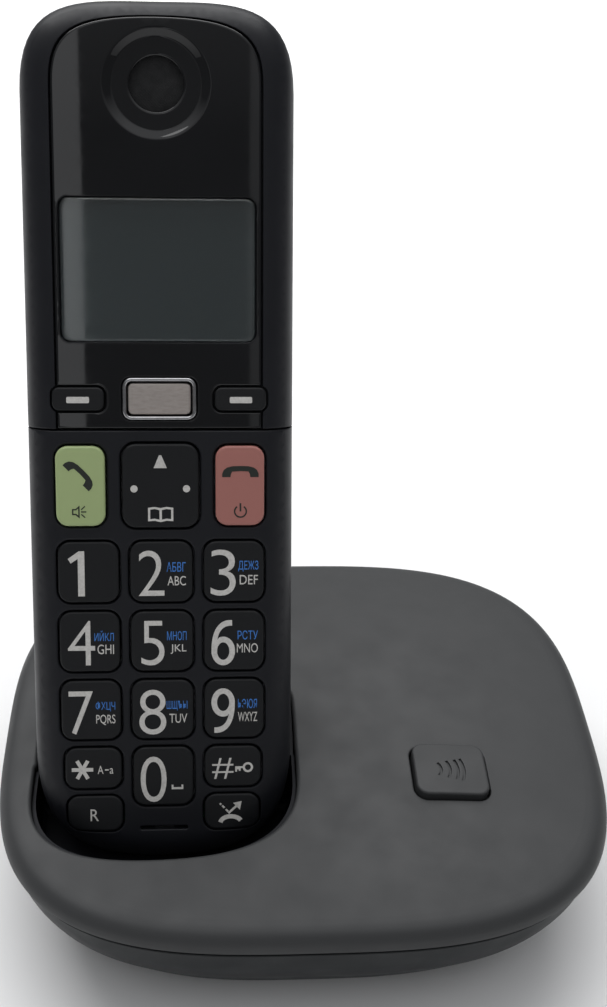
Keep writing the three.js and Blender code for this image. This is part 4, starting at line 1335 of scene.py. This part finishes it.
def shape(ring, *holes):
    """A flat printed shape with holes, as a thin closed solid."""
    edges = [([(np.asarray(r, float), np.ones(len(r))), (np.asarray(r, float), -np.ones(len(r)))], False)
             for r in (ring, *holes)]
    vertices, faces = plate(edges, flat(1), flat(-1), 50)
    return np.array(vertices), faces


def bar(left, bottom, right, top):
    return shape([(left, bottom), (right, bottom), (right, top), (left, top)])


def line(points, width):
    return shape(ribbon(points, width))


def print_on(key, parts, ink=None, surface=None, ending="print"):
    """Lays thin solids, drawn from -1 to 1 in height, on a key's top."""
    vertices, faces = merged(*parts)
    points = np.array(vertices)
    base = (surface or key_surface(key))(points[:, :2])
    points[:, 2] = np.where(points[:, 2] > 0, base + INK, base - UNDER)
    piece(f"{key.name}_{ending}", ([tuple(p) for p in points], faces), HANDSET, ink or INK_WHITE, key.name)


def receiver(x, y, turn, half=3.4):
    """A telephone receiver seen from the side, centred on x, y."""
    right = [(0, 1.05), (1.5, 1.0), (2.5, 0.75), (3.1, 0.3), (half, -0.4), (half, -1.05), (1.85, -1.05),
             (1.75, -0.45), (1.5, 0.0), (0, 0.08)]
    ring = np.array(right + [(-px, py) for px, py in right[-2:0:-1]])[::-1]
    c, s = math.cos(math.radians(turn)), math.sin(math.radians(turn))
    return shape(np.column_stack([x + ring[:, 0] * c - ring[:, 1] * s, y + ring[:, 0] * s + ring[:, 1] * c]))


DIGITS = {
    "2": (-4.3, 45.3, 0.55, 54.0), "3": (9.25, 45.25, 14.0, 54.1),
    "4": (-17.75, 31.9, -12.65, 40.5), "5": (-3.95, 31.75, 0.45, 40.4),
    "7": (-17.85, 18.2, -13.25, 26.7), "8": (-4.5, 18.0, 0.65, 26.85),
    "0": (-4.4, 4.35, 0.6, 13.45),
}
LETTERS = {
    "2": ("ABC", (1.15, 47.3, 4.6, 49.1)), "3": ("DEF", (14.75, 47.4, 18.2, 49.2)),
    "4": ("GHI", (-12.2, 34.05, -9.1, 35.9)), "5": ("JKL", (1.6, 33.95, 4.6, 35.8)),
    "6": ("MNO", (14.2, 34.05, 18.2, 35.85)), "7": ("PQRS", (-12.7, 20.0, -9.05, 22.05)),
    "8": ("TUV", (1.25, 20.25, 4.65, 22.05)), "9": ("WXYZ", (14.4, 20.35, 18.1, 22.2)),
}
CYRILLIC = {
    "2": ("АБВГ", (1.0, 49.95, 4.6, 51.75)), "3": ("ДЕЖЗ", (14.5, 49.9, 18.3, 51.95)),
    "4": ("ИЙКЛ", (-12.75, 36.6, -9.1, 38.6)), "5": ("МНОП", (0.95, 36.6, 4.65, 38.35)),
    "6": ("РСТУ", (14.35, 36.6, 18.2, 38.35)), "7": ("ФХЦЧ", (-12.75, 22.7, -9.05, 24.65)),
    "8": ("ШЩЪЫ", (0.75, 22.7, 4.7, 24.6)), "9": ("ЬЭЮЯ", (14.4, 22.95, 18.05, 24.8)),
}


def bowl_digit(x, y, turned=False):
    """A six whose stem curves in at the top, or the same shape turned round for a nine."""
    angles = np.radians(np.linspace(180, 472, 40))
    bowl = np.column_stack([2.25 + 2.25 * np.cos(angles), 2.8 + 2.8 * np.sin(angles)])
    outer = np.vstack([
        bezier((3.95, 8.8), (1.5, 9.05), (0, 6.9), (0, 2.8), 14), bowl[1:],
        bezier((1.15, 4.95), (1.35, 6.7), (2.3, 7.85), (3.95, 7.72), 10), [(3.95, 7.72)],
    ])
    angles = 2 * math.pi * np.arange(32) / 32
    counter = np.column_stack([2.25 + 1.17 * np.cos(angles), 2.78 + 1.72 * np.sin(angles)])
    if turned:
        outer, counter = np.array([4.5, 8.85]) - outer, np.array([4.5, 8.85]) - counter
    return shape(outer + (x, y), counter + (x, y))


def number_one(x, y):
    ring = np.array([(1.85, 0), (3.1, 0), (3.1, 8.6), (2.05, 8.6), (0, 7.15), (0.55, 6.3), (1.85, 7.15)])
    return shape(ring + (x, y))


def print_number_keys():
    drawn = {digit: glyphs(digit, box, THINNER) for digit, box in DIGITS.items()}
    drawn["1"] = number_one(-17.45, 45.35)
    drawn["6"] = bowl_digit(9.35, 31.6)
    drawn["9"] = bowl_digit(9.3, 18.1, turned=True)
    for digit, figure in drawn.items():
        key = BY_NAME[f"key_{digit}"]
        parts = [figure]
        if digit in LETTERS:
            parts.append(glyphs(*LETTERS[digit]))
        if digit == "0":
            parts.append(shape([(1.55, 6.85), (3.8, 6.85), (3.8, 7.75), (3.45, 7.75), (3.45, 7.25),
                                (1.9, 7.25), (1.9, 7.75), (1.55, 7.75)]))
        print_on(key, parts)
        if digit in CYRILLIC:
            print_on(key, [glyphs(*CYRILLIC[digit])], INK_BLUE, ending="print_blue")


def star_ring(x, y, reach, width):
    points = []
    for k in range(6):
        a = math.radians(60 * k)
        inner = a - math.radians(30)
        points.append((x + width * math.cos(inner), y + width * math.sin(inner)))
        for side in (-1, 1):
            points.append((x + reach * math.cos(a) - side * width / 2 * math.sin(a),
                           y + reach * math.sin(a) + side * width / 2 * math.cos(a)))
    return np.array(points)


def print_icons():
    print_on(BY_NAME["key_star"], [
        shape(star_ring(-15.5, 11.05, 2.05, 0.72)), glyphs("A", (-12.6, 10.2, -11.5, 11.8)),
        bar(-11.2, 10.85, -10.5, 11.1), glyphs("a", (-10.3, 10.2, -9.6, 11.3))])
    print_on(BY_NAME["key_hash"], [  # a hash and a little key, for locking the keypad
        glyphs("#", (9.4, 8.8, 13.5, 12.95), -0.006),
        shape(circle(16.3, 11.05, 1.0, 28), circle(16.3, 11.05, 0.58, 28)),
        shape([(13.85, 10.9), (13.85, 10.2), (14.2, 10.2), (14.2, 10.65), (14.55, 10.65), (14.55, 10.35),
               (14.9, 10.35), (14.9, 10.9), (15.35, 10.9), (15.35, 11.25), (13.85, 11.25)])])
    print_on(BY_NAME["recall_key"], [glyphs("R", (-14.15, 0.6, -12.55, 2.95))])
    print_on(BY_NAME["call_block_key"], [  # a receiver with an arrow that bounces off it
        line(bezier((10.95, -0.1), (11.3, 1.45), (14.6, 1.45), (15.05, -0.1), 14), 0.85),
        line([(12.5, 1.7), (14.3, 3.35)], 0.42), shape([(13.45, 3.75), (14.75, 2.35), (15.1, 4.1)]),
        line([(12.45, 2.05), (12.0, 2.5)], 0.36), line([(11.75, 2.8), (11.3, 3.25)], 0.36),
        line([(11.1, 3.45), (10.85, 3.7)], 0.36)])
    print_on(BY_NAME["talk_key"], [  # a receiver and a loudspeaker
        receiver(-14.85, 68.6, -46),
        shape([(-16.4, 60.95), (-15.75, 60.95), (-15.0, 60.3), (-15.0, 62.75), (-15.75, 62.1),
               (-16.4, 62.1)],
              [(-16.15, 61.2), (-15.65, 61.2), (-15.25, 60.85), (-15.25, 62.2), (-15.65, 61.85),
               (-16.15, 61.85)]),
        bar(-14.75, 61.42, -13.75, 61.66), line([(-14.7, 61.95), (-14.0, 62.6)], 0.22),
        line([(-14.7, 61.1), (-14.0, 60.45)], 0.22)], INK_DARK)
    print_on(BY_NAME["off_key"], [
        receiver(14.9, 69.05, 0), line(arc(14.9, 61.5, 1.1, 125, 415, 24), 0.28),
        bar(14.74, 61.5, 15.06, 63.05)], INK_DARK)
    left_page = [(-1.95, 60.05), (-1.1, 60.15), (-0.22, 59.95), (-0.22, 61.75), (-1.1, 61.98),
                 (-1.95, 61.85)]
    right_page = [(-x, y) for x, y in left_page[::-1]]
    cover = [(-2.35, 59.65), (-1.1, 59.75), (0, 59.5), (1.1, 59.75), (2.35, 59.65), (2.35, 62.2),
             (1.1, 62.38), (0, 62.15), (-1.1, 62.38), (-2.35, 62.2)]
    print_on(BY_NAME["navigator_key"], [  # up, left, right, and an open book for down
        shape([(-1.22, 69.7), (1.22, 69.7), (0.22, 72.1), (-0.22, 72.1)]),
        shape(circle(-4.9, 65.8, 0.68, 24)), shape(circle(4.85, 65.8, 0.68, 24)),
        shape(cover, left_page, right_page)], surface=navigator_surface)
    for key, left in zip(SOFT_KEYS, (-17.05, 12.95)):
        print_on(key, [shape(rounded_rect(left, 81.8, left + 4.15, 82.95, 0.25, arc=3))])


# ---------------------------------------------------------------- handset: rear

REAR_WALL = [(0.0, -PARTING + 0.3), (0.15, -PARTING + 0.15), (SHELL, -PARTING + 0.15), (SHELL + 0.05, 17.0)]


def rear_height(points):
    return DEPTH + round_height(distance_to(points, OUTLINE), REAR_ROUND, REAR_ROUND_DEPTH)


def full_ring(inset, back, spread):
    ring = sideways(OUTLINE, -inset)
    return ring, np.full(len(ring), inset), np.zeros(len(ring), bool)


def rear_case():
    """The rear shell with its speaker slots, and the open bay behind the battery cover."""
    under = lambda points: rear_height(points) - SHELL
    edge = shell_edge(full_ring, 2.2, REAR_WALL, radius=REAR_ROUND, depth=REAR_ROUND_DEPTH, top=DEPTH)
    cover_hole = rounded_rect(-15.7, 22.7, 15.7, 95.3, 2.8, runs=(12, 28))
    slots = [rounded_rect(-7, y - 0.7, 7, y + 0.7, 0.6, arc=5) for y in (118, 121, 124, 127, 130)]
    holes = [(lip(cover_hole, 0.25, rear_height, under, 1), False)]
    holes += [(lip(ring, 0.2, rear_height, under, 1, steps=3), False) for ring in slots]
    shell = make_object("rear_case_shell", plate([(edge, False), *holes], rear_height, under, 1.6), BACK)
    cuts = [block(x - SPRING_HALF, -12, 12.7, x + SPRING_HALF, -4, 18.3) for x in (-SPRING_X, SPRING_X)]
    combined(shell, "DIFFERENCE", *cuts)
    finish_piece(shell, REAR_CHARCOAL, "handset", "rear_case")
    rim = sideways(cover_hole, 1.0)
    tray = rounded_rect(-15, 26, 15, 82, 1.0, runs=(12, 28))
    tray_out = rounded_rect(-16.3, 24.7, 16.3, 83.3, 1.0, runs=(12, 28))
    seat = 26.4
    levels = [(tray, 15.2), (tray, seat), (cover_hole, seat), (rim, seat), (rim, seat - 1.3),
              (tray_out, seat - 1.3), (tray_out, 14.0)]
    bay = make_object("battery_bay", loft(levels), BACK)
    combined(bay, "DIFFERENCE", *[loft([(circle(x, 89.5, 2.5, 32), 30), (circle(x, 89.5, 2.5, 32), 25.2)])
                                  for x in (-10, 10)])
    finish_piece(bay, REAR_CHARCOAL, "handset")


def battery_cover():
    """The lid over the batteries, with a dished thumb grip."""
    def top(points):
        across, along = points[:, 0] / 6.5, (points[:, 1] - 86.6) / 5.0
        dish = np.clip(1 - across ** 2 - along ** 2, 0, 1) ** 0.8
        ridges = 0.13 * (1 + np.cos(2 * math.pi * (points[:, 1] - 86.6) / 1.7)) * np.clip(dish * 3, 0, 1)
        return DEPTH - 0.02 - 0.65 * dish + ridges

    outline = rounded_rect(-15.4, 23, 15.4, 95, 2.5, arc=8)
    floor = flat(DEPTH - 1.3)
    part = plate([(lip(outline, 0.25, top, floor, -1), False)], top, floor, 0.55)
    piece("battery_lid", part, BACK, REAR_CHARCOAL, "battery_cover", "battery_cover")


def batteries():
    """Two AAA cells side by side, the right one with its knob towards the top."""
    radius, length, low = 5.2, 43.6, 31.6
    for word, side in (("left", -1), ("right", 1)):
        profile = [(0.6, 0.0), (4.4, 0.0), (4.9, 0.15), (radius, 0.6), (radius, 43.0), (4.9, 43.45),
                   (4.3, length), (2.0, length), (1.9, 44.2), (1.6, 44.6), (0.6, 44.7)]
        if side < 0:
            profile = [(r, length - along) for r, along in profile[::-1]]
        part = laid([(circle(side * 5.6, -20.9, r, 40), low + along) for r, along in profile])
        cell = piece(f"battery_cell_{word}", part, HANDSET, WRAP, "handset", f"battery_{word}")
        cell.data.materials.append(STEEL)
        for face in cell.data.polygons:
            if face.center.y < (low + 0.15) * MM or face.center.y > (low + length - 0.2) * MM:
                face.material_index = 1


def handset_screws():
    for word, side in (("left", -1), ("right", 1)):
        place = BACK @ Matrix.Translation(Vector((-side * 10, 89.5, 25.2)) * MM)
        screw(f"case_screw_{word}", place, 2.2, 0.85, 16, "handset", f"handset_screw_{word}", 0.9)


def carried_nodes():
    """CAD pieces that keep their shape, mostly inside the shells, get their finish here."""
    finishes = {
        "base_circuit_board": BOARD, "handset_circuit_board": BOARD, "locator_switch": SOCKET,
        "charge_spring_left": GOLD, "charge_spring_right": GOLD, "charge_contact_left": GOLD,
        "charge_contact_right": GOLD, "battery_contact_bottom": STEEL, "battery_contact_top": STEEL,
        "keypad_membrane": MEMBRANE, "nav_pivot": RUBBER, "microphone": STEEL, "loudspeaker": CLOTH,
        "earpiece_speaker": STEEL, "lcd_backlight": DIFFUSER,
    }
    for name, material in finishes.items():
        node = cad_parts[name]
        node.data.materials.clear()
        node.data.materials.append(material)


for make in (top_cover, bottom_housing, cradle, locator_button, feet, base_screws, sockets, keypad_cover,
             front_frame, window_panel, display_window, earpiece):
    make()
for key in KEYS[:-1] + SOFT_KEYS:
    key_cap(key)
key_cap(KEYS[-1], navigator_surface, edge=0.45, spacing=0.9)
key_cap(MENU_KEY, menu_surface, spacing=0.8, steps=6, step=0.8)
for make in (menu_ring, print_number_keys, print_icons, rear_case, battery_cover, batteries,
             handset_screws, carried_nodes):
    make()
